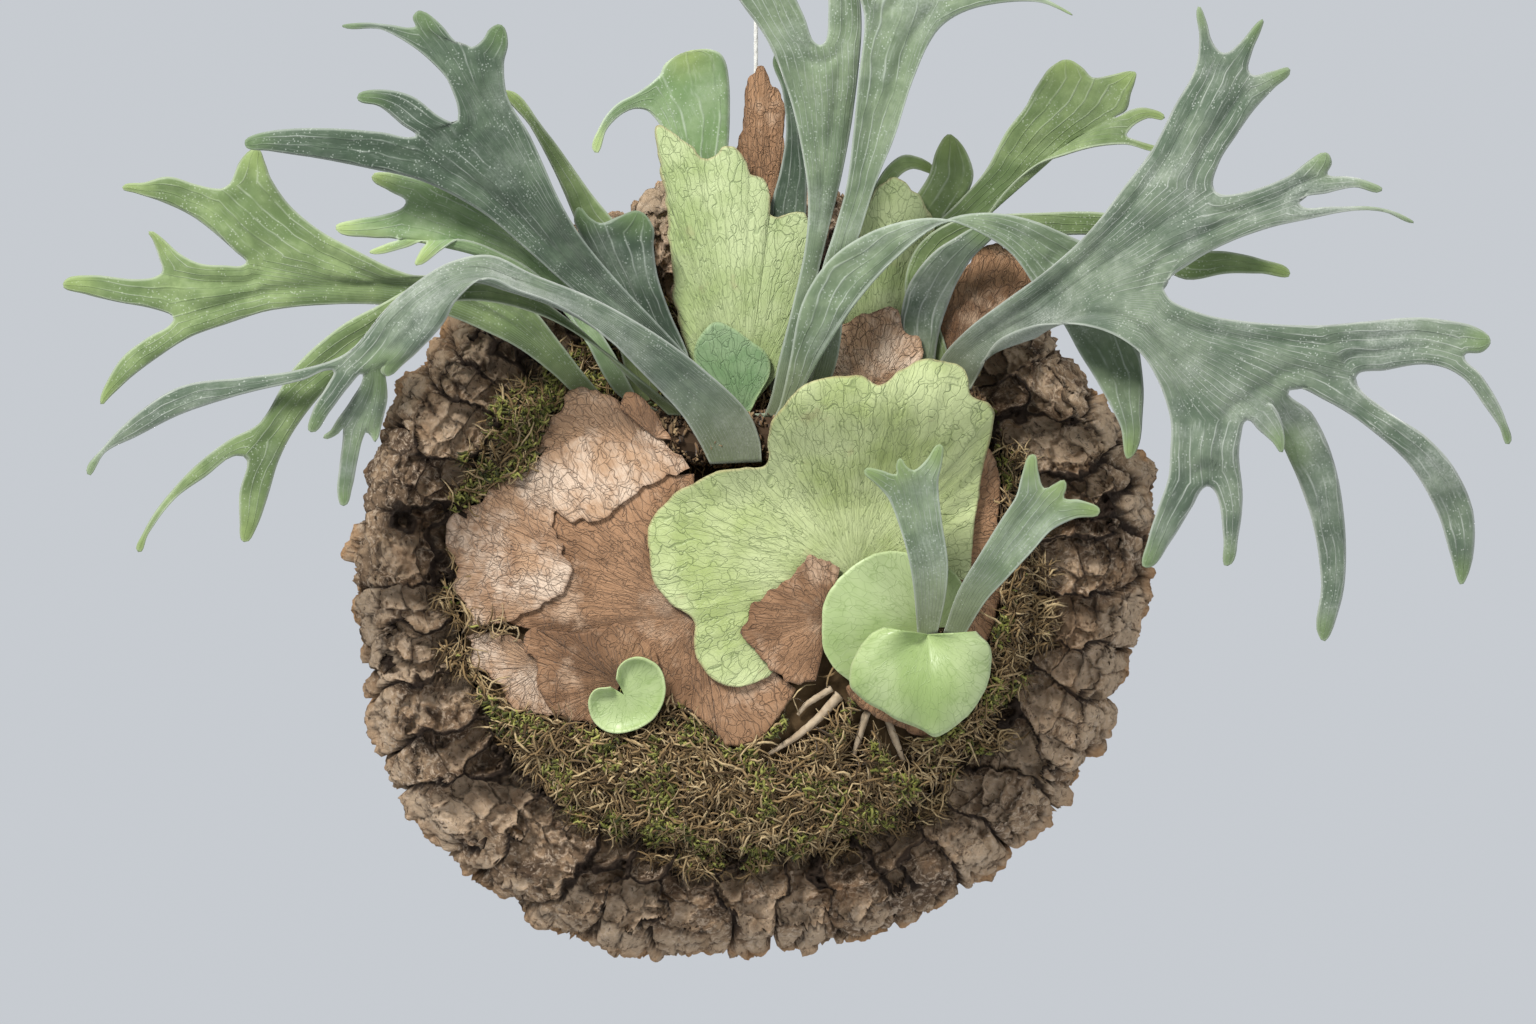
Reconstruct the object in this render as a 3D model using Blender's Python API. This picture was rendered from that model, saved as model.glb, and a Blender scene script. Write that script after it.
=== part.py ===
"""A staghorn fern mounted on a round slab of cork bark, hung on the wall by a cord.

Outlines are drawn in millimetres on one upright layout plane, as (x, z), and every
point is then slid along its line to EYE until it stands the stated number of
millimetres in front of the board's flat back.  The back is the plane y = 0, the
plant faces -Y and +Z is up.
"""
import math
import random

import bmesh
import bpy
from mathutils import Vector

MM = 0.001
EYE = Vector((12.0, -2060.0, 170.0))
LAYOUT_DEPTH = 60.0
REACH = -EYE.y - LAYOUT_DEPTH

SLAB_FRONT = 44.0
SLAB_RADIUS = 196.0
BED_HALF_WIDTH = 142.0
BED_HALF_HEIGHT = 136.0
LEAF_THICK = 1.3
SHIELD_THICK = 1.2
CUSHION_THICK = 3.0
LAYER_STEP = 2.1
GAP = 0.35

CORD_RADIUS = 1.1
CORD_X = 6.0
CORD_DEPTH = 17.0
EYE_Z = 212.0
CORD_TOP_Z = 318.0
SHANK_LOW_Z = 188.0
SHANK_RADIUS = 1.4


# ---------------------------------------------------------------- basic helpers

def clear_scene():
    for obj in list(bpy.data.objects):
        bpy.data.objects.remove(obj, do_unlink=True)


def place(x, z, depth):
    """The point drawn at (x, z), standing depth millimetres in front of the back."""
    t = (REACH - (depth - LAYOUT_DEPTH)) / REACH
    return Vector((EYE.x + (x - EYE.x) * t, -depth, EYE.z + (z - EYE.z) * t)) * MM


def smooth(value, low, high):
    t = min(1.0, max(0.0, (value - low) / (high - low)))
    return t * t * (3.0 - 2.0 * t)


def table(values, t):
    """The value at t in 0..1 along an evenly spaced list."""
    if len(values) == 1:
        return values[0]
    at = t * (len(values) - 1)
    low = min(int(at), len(values) - 2)
    return values[low] + (values[low + 1] - values[low]) * (at - low)


def curve_through(points, before=None, after=None, steps=5):
    """A Catmull-Rom curve through 2-D points, with the neighbours that set its end slopes."""
    pts = [Vector(p) for p in points]
    first = Vector(before) if before is not None else pts[0] * 2 - pts[1]
    last = Vector(after) if after is not None else pts[-1] * 2 - pts[-2]
    chain = [first] + pts + [last]
    out = [pts[0]]
    for k in range(1, len(chain) - 2):
        p0, p1, p2, p3 = chain[k - 1:k + 3]
        span = max((p2 - p1).length, 1e-6)
        m1 = (p2 - p0) / max((p2 - p0).length, 1e-6) * span
        m2 = (p3 - p1) / max((p3 - p1).length, 1e-6) * span
        for j in range(1, steps + 1):
            t = j / steps
            a = 2 * t ** 3 - 3 * t ** 2 + 1
            b = t ** 3 - 2 * t ** 2 + t
            c = -2 * t ** 3 + 3 * t ** 2
            d = t ** 3 - t ** 2
            out.append(p1 * a + m1 * b + p2 * c + m2 * d)
    return out


def length_of(line):
    return sum((b - a).length for a, b in zip(line, line[1:]))


def along(line, t):
    """The point a share t of the way along a polyline."""
    want = length_of(line) * t
    for a, b in zip(line, line[1:]):
        step = (b - a).length
        if want <= step and step > 0:
            return a + (b - a) * (want / step)
        want -= step
    return line[-1].copy()


def make_material(name, colour, roughness, metallic=0.0):
    material = bpy.data.materials.get(name)
    if material is None:
        material = bpy.data.materials.new(name)
        material.use_nodes = True
        shader = material.node_tree.nodes["Principled BSDF"]
        shader.inputs["Base Color"].default_value = (*colour, 1.0)
        shader.inputs["Roughness"].default_value = roughness
        shader.inputs["Metallic"].default_value = metallic
        material.diffuse_color = (*colour, 1.0)
    return material


def make_object(name, verts, faces, material):
    mesh = bpy.data.meshes.new(name)
    mesh.from_pydata([tuple(v) for v in verts], [], faces)
    mesh.validate()
    bm = bmesh.new()
    bm.from_mesh(mesh)
    bmesh.ops.remove_doubles(bm, verts=bm.verts, dist=1e-5)
    bmesh.ops.triangulate(bm, faces=[f for f in bm.faces if len(f.verts) > 3])
    bmesh.ops.recalc_face_normals(bm, faces=bm.faces)
    bm.to_mesh(mesh)
    bm.free()
    obj = bpy.data.objects.new(name, mesh)
    bpy.context.scene.collection.objects.link(obj)
    mesh.materials.append(material)
    return obj


def thicken(obj, thickness):
    modifier = obj.modifiers.new("thickness", "SOLIDIFY")
    modifier.thickness = thickness * MM
    modifier.offset = 0.0
    return obj


# ---------------------------------------------------------------- materials

def felt_green():
    return make_material("felted_frond", (0.19, 0.27, 0.21), 0.75)


def dark_green():
    return make_material("dark_frond", (0.10, 0.16, 0.11), 0.7)


def leaf_green():
    return make_material("green_frond", (0.20, 0.30, 0.08), 0.55)


def pale_green():
    return make_material("pale_frond", (0.38, 0.50, 0.33), 0.6)


def shield_green():
    return make_material("green_shield", (0.33, 0.45, 0.12), 0.5)


def pup_green():
    return make_material("young_shield", (0.32, 0.50, 0.12), 0.45)


def paper_brown():
    return make_material("papery_shield", (0.45, 0.27, 0.16), 0.8)


def bleached_brown():
    return make_material("bleached_shield", (0.60, 0.42, 0.30), 0.85)


def bark_brown():
    return make_material("cork_bark", (0.20, 0.14, 0.10), 0.9)


def moss_brown():
    return make_material("sphagnum", (0.18, 0.13, 0.06), 0.95)


def moss_green():
    return make_material("green_moss", (0.14, 0.16, 0.04), 0.95)


def root_tan():
    return make_material("root", (0.42, 0.33, 0.22), 0.85)


def rhizome_brown():
    return make_material("rhizome_scales", (0.22, 0.15, 0.08), 0.9)


def cord_white():
    return make_material("cotton_cord", (0.80, 0.80, 0.78), 0.8)


def steel():
    return make_material("zinc_steel", (0.55, 0.55, 0.56), 0.35, 1.0)


# ---------------------------------------------------------------- slab and moss

def slab_edge(angle):
    """The slab's outline radius at an angle, in millimetres."""
    wave = 4.0 * math.sin(2 * angle + 0.6) + 3.0 * math.sin(3 * angle + 2.2)
    wave += 2.5 * math.sin(5 * angle + 0.4) + 1.8 * math.sin(9 * angle)
    return SLAB_RADIUS + wave


def dome(x, z):
    """Height of the moss and shield mound over the slab's front, in millimetres."""
    r = math.hypot((x - 5.0) / 150.0, (z + 5.0) / 142.0)
    return 46.0 + 34.0 * max(0.0, 1.0 - r ** 3) ** 0.8


def cork_bark_slab():
    """The board: thick cork bark with a chunky front and a rim that curves back."""
    count = 76
    rng = random.Random(11)
    profile = ((0.93, 0.0), (0.97, 6.0), (1.0, 18.0), (0.985, 30.0), (0.94, 41.0), (0.87, 46.0),
               (0.78, 44.0))
    verts = []
    faces = []
    for ring, (share, depth) in enumerate(profile):
        for k in range(count):
            angle = 2 * math.pi * k / count
            lump = rng.uniform(-1.0, 1.0) * (2.6 if 0 < ring < 6 else 0.0)
            radius = slab_edge(angle) * share + lump
            height = depth + (rng.uniform(-3.0, 3.0) if 2 < ring < 6 else 0.0)
            verts.append(place(radius * math.cos(angle), radius * math.sin(angle) - 2.0, height))
    for ring in range(len(profile) - 1):
        for k in range(count):
            n = (k + 1) % count
            faces.append((ring * count + k, ring * count + n, (ring + 1) * count + n,
                          (ring + 1) * count + k))
    faces.append(tuple(range(count))[::-1])
    top = (len(profile) - 1) * count
    faces.append(tuple(top + k for k in range(count)))
    obj = make_object("cork_bark_slab", verts, faces, bark_brown())
    cutter = tube("eye_hole_cutter", [(CORD_X, 150.0, CORD_DEPTH), (CORD_X, 215.0, CORD_DEPTH)], 2.0,
                  steel())
    cutter.hide_render = True
    cutter.display_type = "WIRE"
    cut = obj.modifiers.new("eye_hole", "BOOLEAN")
    cut.object = cutter
    return obj


def bed_height(x, z):
    low = 1.0 - smooth(z, 28.0, 56.0) * smooth(x, -120.0, -70.0)
    return 46.0 + (dome(x, z) - 46.6) * low + 3.6 * (smooth(z, 28.0, 56.0) - smooth(z, 88.0, 102.0))


def moss_bed():
    """The pad of sphagnum that the shields wrap."""
    count = 44
    shares = (1.0, 0.93, 0.82, 0.68, 0.52, 0.36, 0.18)
    verts = []
    faces = []
    for k in range(count):
        angle = 2 * math.pi * k / count
        x, z = BED_HALF_WIDTH * math.cos(angle), BED_HALF_HEIGHT * math.sin(angle) - 5.0
        verts.append(place(x, z, SLAB_FRONT + GAP))
    for share in shares:
        for k in range(count):
            angle = 2 * math.pi * k / count
            x = BED_HALF_WIDTH * share * math.cos(angle)
            z = BED_HALF_HEIGHT * share * math.sin(angle) - 5.0
            verts.append(place(x, z, bed_height(x, z)))
    for ring in range(len(shares)):
        for k in range(count):
            n = (k + 1) % count
            faces.append((ring * count + k, ring * count + n, (ring + 1) * count + n,
                          (ring + 1) * count + k))
    faces.append(tuple(range(count))[::-1])
    middle = len(verts)
    verts.append(place(0.0, -5.0, bed_height(0.0, -5.0)))
    last = len(shares) * count
    for k in range(count):
        faces.append((last + k, last + (k + 1) % count, middle))
    return make_object("moss_bed", verts, faces, moss_brown())


def moss_cushion(name, inner, outer, material):
    """A low cushion of moss lying on the bed between two lines."""
    def depth(x, z, out):
        return bed_height(x, z) + 1.3 + CUSHION_THICK / 2 + 4.0 * out * (1.0 - out)
    sheet = sheet_mesh(name, curve_through(inner, steps=3), curve_through(outer, steps=3), depth, material,
                       10, 2)
    return thicken(sheet, CUSHION_THICK)


# ---------------------------------------------------------------- tubes

def tube(name, points, radius, material, sides=8):
    """A round tube along (x, z, depth) points; radius is one number or one for each point."""
    centres = [place(*p) for p in points]
    radii = [radius] * len(points) if isinstance(radius, (int, float)) else list(radius)
    verts = []
    faces = []
    for k, centre in enumerate(centres):
        ahead = centres[min(k + 1, len(centres) - 1)] - centres[max(k - 1, 0)]
        ahead.normalize()
        side = ahead.cross(Vector((0.13, 0.97, 0.21))).normalized()
        up = side.cross(ahead).normalized()
        for j in range(sides):
            turn = 2 * math.pi * j / sides
            verts.append(centre + (side * math.cos(turn) + up * math.sin(turn)) * radii[k] * MM)
    for k in range(len(centres) - 1):
        for j in range(sides):
            n = (j + 1) % sides
            faces.append((k * sides + j, k * sides + n, (k + 1) * sides + n, (k + 1) * sides + j))
    faces.append(tuple(range(sides))[::-1])
    last = (len(centres) - 1) * sides
    faces.append(tuple(last + j for j in range(sides)))
    return make_object(name, verts, faces, material)


def ring_mesh(name, centre, ring_radius, wire_radius, material, turned=False):
    """A closed ring standing upright, across the cord or, when turned, along Y."""
    verts = []
    faces = []
    around, sides = 16, 6
    for k in range(around):
        a = 2 * math.pi * k / around
        out = Vector((0.0, math.cos(a), math.sin(a))) if turned else Vector((math.cos(a), 0.0, math.sin(a)))
        flat = Vector((1.0, 0.0, 0.0)) if turned else Vector((0.0, 1.0, 0.0))
        for j in range(sides):
            b = 2 * math.pi * j / sides
            wide = ring_radius + wire_radius * math.cos(b)
            verts.append(centre + (out * wide + flat * wire_radius * math.sin(b)) * MM)
    for k in range(around):
        for j in range(sides):
            n, m = (k + 1) % around, (j + 1) % sides
            faces.append((k * sides + j, n * sides + j, n * sides + m, k * sides + m))
    return make_object(name, verts, faces, material)


# ---------------------------------------------------------------- fronds that fork

def tips_in(strip):
    return sum(tips_in(kid) for kid in strip["kids"]) if strip.get("kids") else 1


class FrondMesh:
    """A forked ribbon: strips between two edges, sharing the row of points where they fork."""

    def __init__(self, name, strip, columns, row_length):
        self.name = name
        self.verts = []
        self.faces = []
        self.columns = columns
        self.row_length = row_length
        a, b = strip["a"], strip["b"]
        count = tips_in(strip) * columns
        start = []
        for k in range(count + 1):
            s = k / count
            flat = Vector(a[0]).lerp(Vector(b[0]), s)
            start.append(self.add(flat, strip["f"][0] + table(strip.get("tilt", (0.0,)), 0.0) * (0.5 - s)))
        self.grow(strip, start, a[0], b[0], a[1:], b[1:], None, None)

    def add(self, flat, depth):
        self.verts.append((flat.x, flat.y, depth))
        return len(self.verts) - 1

    def grow(self, strip, start, a0, b0, a_rest, b_rest, a_before, b_before):
        kids = strip.get("kids", ())
        first = [Vector(self.verts[i][:2]) for i in start]
        if kids:
            corners = [Vector(a_rest[-1])] + [Vector(c) for c in strip["crotch"]] + [Vector(b_rest[-1])]
            a_after, b_after = kids[0]["a"][0], kids[-1]["b"][0]
            a_line = curve_through([a0] + list(a_rest), a_before, a_after)
            b_line = curve_through([b0] + list(b_rest), b_before, b_after)
        else:
            tip = strip["tip"]
            a_line = curve_through([a0] + list(a_rest) + [tip], a_before, (b_rest or [b0])[-1])
            b_line = curve_through([b0] + list(b_rest) + [tip], b_before, (a_rest or [a0])[-1])
        rows = max(2, round((length_of(a_line) + length_of(b_line)) / 2 / self.row_length))
        count = len(start) - 1
        ends = [Vector(tip)] * (count + 1) if not kids else self.fork_row(kids, corners)
        depths = [self.verts[i][2] for i in start]
        mean = sum(depths) / len(depths)
        path = [mean] + list(strip["f"][1:] if a_before is None else strip["f"])
        rows_made = [start]
        for r in range(1, rows + 1):
            t = r / rows
            row = []
            for k in range(count + 1):
                s = k / count
                pa, pb = along(a_line, t), along(b_line, t)
                flat = pa.lerp(pb, s)
                flat += (ends[k] - a_line[-1].lerp(b_line[-1], s)) * t * t
                flat += (first[k] - a_line[0].lerp(b_line[0], s)) * (1 - t) ** 2
                depth = table(path, t)
                if "tilt" in strip:
                    depth += table(strip["tilt"], t) * (0.5 - s)
                else:
                    depth += (depths[k] - mean) * (1 - t) ** 2
                bow = 4 * s * (1 - s) * (1 - t if kids else 1.0)
                for share, dx, dz, df in strip.get("sag", ()):
                    near = max(0.0, 1.0 - abs(t - share) / 0.45)
                    flat += Vector((dx, dz)) * near * bow
                    depth += df * near * bow
                row.append((flat, depth))
            if not kids and r == rows:
                point = self.add(Vector(tip), table(path, 1.0))
                ids = [point] * (count + 1)
            else:
                ids = [self.add(flat, depth) for flat, depth in row]
            rows_made.append(ids)
        for lower, upper in zip(rows_made, rows_made[1:]):
            for k in range(count):
                face = [lower[k], lower[k + 1], upper[k + 1], upper[k]]
                face = [v for i, v in enumerate(face) if v != face[i - 1]]
                self.faces.append(tuple(face))
        if not kids:
            return
        at = 0
        last = rows_made[-1]
        for i, kid in enumerate(kids):
            wide = tips_in(kid) * self.columns
            a_from, b_from = corners[i], corners[i + 1]
            a_prev = self.before(a_rest, a0) if i == 0 else self.first_point(kids[i - 1], "b")
            b_prev = self.before(b_rest, b0) if i == len(kids) - 1 else self.first_point(kids[i + 1], "a")
            self.grow(kid, last[at:at + wide + 1], a_from, b_from, kid["a"], kid["b"], a_prev, b_prev)
            at += wide

    @staticmethod
    def before(rest, first):
        return rest[-2] if len(rest) > 1 else first

    @staticmethod
    def first_point(kid, edge):
        return kid[edge][0] if kid[edge] else kid["tip"]

    def fork_row(self, kids, corners):
        row = []
        for i, kid in enumerate(kids):
            wide = tips_in(kid) * self.columns
            for k in range(wide):
                row.append(corners[i].lerp(corners[i + 1], k / wide))
        row.append(corners[-1])
        return row

    def build(self, material, thickness):
        verts = [place(*v) for v in self.verts]
        return thicken(make_object(self.name, verts, self.faces, material), thickness)


# x, z, depth and radius along each rhizome
RHIZOME = ((-76, 82, 61, 3), (-66, 76.4, 61, 7.8), (-45, 70, 63, 10.5), (-15, 66, 65, 12), (20, 68, 64, 12),
           (55, 74, 61, 10.5), (88, 80, 61, 10.5), (113, 82, 62, 10), (120, 83, 62, 4))
PUP_RHIZOME = ((82, -36, 85.2, 2), (88, -36, 87.5, 4.5), (98, -36, 88.3, 5.5), (108, -36, 87.5, 4.5),
               (114, -36, 85.5, 2))


def top_of(stem, x, depth):
    """The height of a rhizome's upper surface over (x, depth), with the gap that a frond base keeps."""
    low, high = stem[0], stem[1]
    for low, high in zip(stem, stem[1:]):
        if x <= high[0]:
            break
    t = min(1.0, max(0.0, (x - low[0]) / (high[0] - low[0])))
    z, centre, radius = (low[i] + (high[i] - low[i]) * t for i in (1, 2, 3))
    aside = max(0.0, abs(depth - centre) - 0.8)
    return z + math.sqrt(max(0.0, radius * radius - aside * aside)) + GAP


def seated(strip, stem):
    """Moves a frond's base edge onto its rhizome, unless the frond is rooted on the rhizome's front."""
    if strip.get("on_front"):
        return strip
    for edge in (strip["a"], strip["b"]):
        x = edge[0][0]
        edge[0] = (x, top_of(stem, x, strip["f"][0]))
    return strip


def tip(a, b, end, f):
    """A single pointed lobe."""
    return {"a": a, "b": b, "tip": end, "f": f}


def fork(a, b, f, crotch, kids, **more):
    """A ribbon that splits: a and b are its edges, kids go from the a side to the b side."""
    return {"a": a, "b": b, "f": f, "crotch": crotch, "kids": kids, **more}


# ---------------------------------------------------------------- the antler fronds

def antler_upper_left():
    top = fork([(-146, 243)], [(-117, 236)], (119, 120), [(-163, 271), (-135, 261)], [
        tip([(-165, 262), (-180, 270)], [(-175, 272), (-188, 273)], (-199, 271), (122,)),
        tip([(-164, 276)], [(-143, 264), (-150, 272)], (-160, 279), (122,)),
        tip([(-129, 265), (-126, 270)], [(-117, 263)], (-120, 272), (119,))])
    top["a"].append((-153, 252))
    top["b"].append((-119, 253))
    return fork([(-27, 71), (-40, 98), (-60, 122), (-83, 139), (-107, 160), (-131, 180), (-160, 195)],
                [(-13, 70), (-22, 100), (-40, 121), (-60, 142), (-80, 166), (-92, 186), (-106, 217)],
                (69, 80, 90, 100, 110, 116), [(-163, 217), (-142, 225)], [
        tip([(-185, 201), (-210, 206), (-236, 210)], [(-180, 219), (-210, 221), (-238, 219)], (-248, 213),
            (119, 121)),
        tip([(-170, 223), (-181, 232)], [(-150, 226), (-165, 237), (-182, 240)], (-192, 236), (119,)),
        top])


def antler_left():
    lower = fork([(-258, 124), (-275, 118)], [(-259, 153), (-271, 154)], (100, 101),
                 [(-284, 126), (-290, 149)], [
        tip([(-290, 109), (-305, 98), (-316, 88)], [(-297, 117), (-309, 108), (-317, 96)], (-321, 84),
            (102,)),
        tip([(-292, 131), (-312, 135), (-328, 139)], [(-303, 146), (-325, 148)], (-339, 144), (106,)),
        tip([(-291, 157), (-294, 166)], [(-281, 159), (-290, 167)], (-296, 170), (104,))])
    upper = fork([(-253, 160), (-263, 169)], [(-212, 171), (-226, 183), (-235, 196)], (99, 98),
                 [(-260, 191)], [
        tip([(-275, 178), (-290, 185), (-302, 189)], [(-272, 193), (-286, 197), (-298, 194)], (-309, 192),
            (98,)),
        tip([(-255, 194), (-250, 205)], [(-238, 204)], (-242, 211), (97,))])
    return fork([(-74, 76), (-82, 87), (-95, 99), (-112, 112), (-130, 121), (-150, 129), (-173, 133),
                 (-200, 134),
                 (-235, 131)],
                [(-60, 72), (-66, 84), (-78, 97), (-92, 115), (-108, 134), (-130, 146), (-150, 148),
                 (-168, 149),
                 (-198, 163)],
                (63.3, 69, 77, 84, 90, 94, 98), [(-248, 154)], [lower, upper])


def antler_arching_left():
    hanging = fork([(-196, 86)], [(-178, 88)], (126, 122), [(-200, 72), (-189, 70)], [
        tip([(-206, 71)], [(-203, 69)], (-210, 67), (118,)),
        tip([(-202, 52), (-203, 40)], [(-193, 56), (-196, 42)], (-200, 33), (112,)),
        tip([(-186, 68)], [(-181, 74)], (-184, 65), (118,))])
    hanging["a"].append((-203, 76))
    hanging["b"].append((-180, 78))
    return fork([(9, 55), (8, 66), (2, 80), (-15, 97), (-41, 117), (-74, 136), (-106, 149), (-126, 158),
                 (-145, 155),
                 (-160, 147), (-176, 134), (-197, 110)],
                [(-17, 54), (-23, 66), (-32, 80), (-50, 99), (-74, 122), (-93, 134), (-112, 141),
                 (-128, 147), (-143, 136),
                 (-150, 124), (-163, 110)],
                (75.7, 83.4, 98, 111, 122, 130, 135, 135), [(-205, 101), (-190, 99), (-180, 103)], [
        tip([(-222, 101), (-250, 97), (-280, 93), (-303, 79), (-320, 62)],
            [(-220, 96), (-250, 89), (-281, 79), (-303, 68), (-319, 60)], (-328, 49), (133, 127, 120, 112)),
        tip([(-208, 93), (-215, 81)], [(-197, 93), (-207, 80)], (-216, 70), (134, 130)),
        hanging,
        tip([(-181, 100)], [(-170, 104)], (-177, 98), (131,))], tilt=(0.0, 0.0, -12.0, -16.0, 0.0),
        on_front=True)


def antler_hanging_left():
    return fork([(-38, 70), (-60, 100), (-85, 124), (-120, 146), (-155, 146), (-182, 133), (-202, 122),
                 (-225, 101),
                 (-241, 75)],
                [(-28, 66), (-44, 90), (-72, 112), (-100, 128), (-135, 136), (-160, 130), (-182, 112),
                 (-204, 96),
                 (-222, 75)],
                (70, 84, 100, 112, 119, 122, 122, 120), [(-250, 58)], [
        tip([(-257, 66), (-275, 52), (-292, 33), (-300, 20)], [(-270, 47), (-285, 36), (-298, 19)],
            (-303, 10), (114, 106)),
        tip([(-252, 40), (-252, 25)], [(-232, 57), (-238, 38), (-244, 22)], (-250, 15), (114, 108))])


def antler_pale_left():
    return fork([(-53, 69), (-66, 92), (-85, 127), (-102, 148), (-118, 158), (-140, 166)],
                [(-42, 67), (-52, 86), (-64, 108), (-78, 130), (-92, 152), (-106, 168), (-150, 192)],
                (66, 74, 82, 88, 93), [(-158, 165), (-172, 166), (-168, 184)], [
        tip([(-150, 161)], [(-161, 160)], (-163, 153), (97,)),
        tip([(-168, 162)], [(-177, 164)], (-186, 159), (92,)),
        tip([(-186, 167)], [(-180, 178), (-192, 176)], (-203, 171), (99,)),
        tip([(-176, 190)], [(-165, 197), (-176, 199)], (-185, 197), (94,))])


def antler_behind_left():
    return tip([(-56, 73), (-58, 96), (-66, 125), (-78, 160), (-92, 195), (-106, 222)],
               [(-44, 73), (-42, 96), (-48, 130), (-58, 165), (-76, 189), (-100, 222)], (-118, 240),
               (58, 62, 68, 74, 84))


def antler_dark_wavy():
    return fork([(-36, 72), (-50, 108), (-66, 140), (-76, 158), (-84, 174)],
                [(-24, 72), (-27, 106), (-37, 130), (-43, 148), (-45, 163)], (64, 68, 76, 84),
                [(-71, 174)], [
        tip([(-84, 179)], [(-77, 177)], (-82, 182), (86,)),
        tip([(-63, 177)], [(-45, 172)], (-52, 180), (86,))])


def antler_curled_tip():
    return fork([(-22, 77), (-24, 120), (-27, 160), (-31, 190), (-38, 215), (-47, 229)],
                [(-12, 77), (-10, 120), (-8, 158), (-9, 190), (-7, 225), (-8, 250)],
                (54, 53, 53, 54, 55, 58), [(-42, 247)], [
        tip([(-57, 230), (-68, 221)], [(-52, 239), (-63, 233), (-71, 223)], (-74, 209), (66, 78)),
        tip([(-39, 253)], [(-13, 259)], (-28, 259), (62,))])


def antler_upright():
    left = fork([(-2, 284), (-14, 302)], [(30, 276), (20, 300)], (101, 104), [(4, 311)], [
        tip([(-22, 314)], [(-6, 322), (-18, 328)], (-30, 330), (106,)),
        tip([(4, 324)], [(18, 316), (15, 328)], (10, 340), (104,))])
    right = fork([(42, 276), (41, 296)], [(58, 279), (56, 298)], (94, 92), [(48, 307)], [
        tip([(38, 312)], [(43, 318)], (37, 330), (92,)),
        tip([(52, 318)], [(59, 312)], (60, 326), (91,))])
    return fork([(4, 64), (10, 78), (18, 108), (26, 140), (31, 165), (32, 188), (29, 210), (23, 236),
                 (12, 264)],
                [(13, 63), (20, 78), (29, 108), (36, 145), (43, 175), (49, 200), (54, 228), (58, 264)],
                (68, 78, 84, 86, 90, 96), [(38, 262)], [left, right])


def antler_narrow_dark():
    return tip([(13, 77), (12, 140), (13, 180), (18, 200), (21, 220), (19, 240)],
               [(23, 77), (28, 140), (31, 180), (31, 205), (28, 228), (22, 245)], (15, 257),
               (57, 56.5, 57, 63, 72))


def antler_upright_right():
    return fork([(27, 68), (36, 108), (38, 146), (45, 170), (51, 192), (54, 215), (57, 246), (60, 275)],
                [(38, 68), (47, 108), (51, 146), (58, 170), (66, 195), (75, 217), (84, 245), (95, 268)],
                (68, 80, 89, 95, 100, 104), [(66, 286), (98, 296)], [
        tip([(56, 290), (54, 304)], [(64, 300)], (57, 318), (108,)),
        tip([(74, 305), (79, 325)], [(99, 312), (95, 330)], (87, 346), (104, 108)),
        tip([(116, 292), (137, 290)], [(108, 278), (128, 283), (148, 283)], (163, 277), (108, 114))])


def antler_arching_right():
    far = tip([(185, 146), (193, 128), (198, 104), (199, 82)], [(158, 126), (167, 110), (177, 94),
                                                                (188, 73)],
              (193, 57), (103, 107, 105))
    return fork([(21, 72), (28, 92), (40, 114), (56, 136), (76, 158), (97, 174), (117, 179), (141, 176),
                 (170, 164)],
                [(15, 66), (18, 84), (23, 106), (29, 134), (42, 155), (60, 168), (80, 175), (99, 176),
                 (118, 169),
                 (134, 158), (148, 138)],
                (72.3, 84, 92, 96, 98, 99, 100), [(160, 150)], [
        tip([(180, 160), (186, 154)], [(172, 152)], (192, 148), (100,)),
        far], sag=((0.25, 5, -5, 0), (0.5, 6, -8, -2)))


def antler_behind_right():
    return tip([(97, 86), (88, 112), (80, 140), (86, 162), (104, 175), (124, 178), (142, 179), (181, 179),
                (207, 170), (224, 161), (240, 160), (258, 156)],
               [(106, 86), (101, 112), (94, 136), (97, 154), (112, 165), (130, 168), (150, 168),
                (181, 167), (205, 154), (220, 146), (240, 149), (258, 149)],
               (272, 149), (63.5, 63.5, 66, 74, 82, 88, 92, 94))


def antler_small_grey():
    return tip([(83, 82), (78, 114), (80, 138), (89, 154), (102, 165)], [(94, 82), (97, 118), (105, 142),
                                                                         (113, 156)],
               (124, 172), (66, 66, 67, 78, 84))


def antler_back_right():
    upper = fork([(146, 243)], [(184, 236)], (66, 66), [(173, 246)], [
        tip([(152, 251)], [(168, 251)], (160, 255), (66,)),
        tip([(181, 247)], [(194, 244)], (194, 249), (64,))])
    upper["a"] = [(143, 238), (148, 246)]
    upper["b"] = [(190, 230), (192, 238)]
    lower = fork([(192, 230)], [(175, 212)], (72, 74), [(190, 218)], [
        tip([(200, 231)], [(200, 226)], (209, 226), (76,)),
        tip([(195, 215)], [(190, 213)], (207, 210), (76,))])
    return fork([(86, 83), (80, 120), (82, 150), (92, 170), (106, 184), (120, 200), (130, 219), (140, 232)],
                [(95, 83), (96, 116), (98, 140), (106, 158), (118, 174), (130, 190), (144, 202),
                 (160, 208)],
                (56, 56, 55.5, 55.5, 59, 66), [(184, 226)], [upper, lower])


def antler_back_small():
    return tip([(70, 79), (64, 116), (66, 150), (74, 172), (85, 187), (92, 198), (96, 211)],
               [(79, 79), (84, 116), (90, 146), (100, 168), (110, 186), (114, 200)],
               (103, 218), (54.2, 53.6, 53.6, 54, 58))


def antler_back_curl():
    return tip([(49, 75), (51, 120), (56, 164), (64, 190), (72, 203), (82, 208)],
               [(56, 75), (60, 120), (66, 164), (71, 186), (77, 197), (84, 201)],
               (96, 199), (52, 51.4, 51.2, 51, 50))


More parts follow.
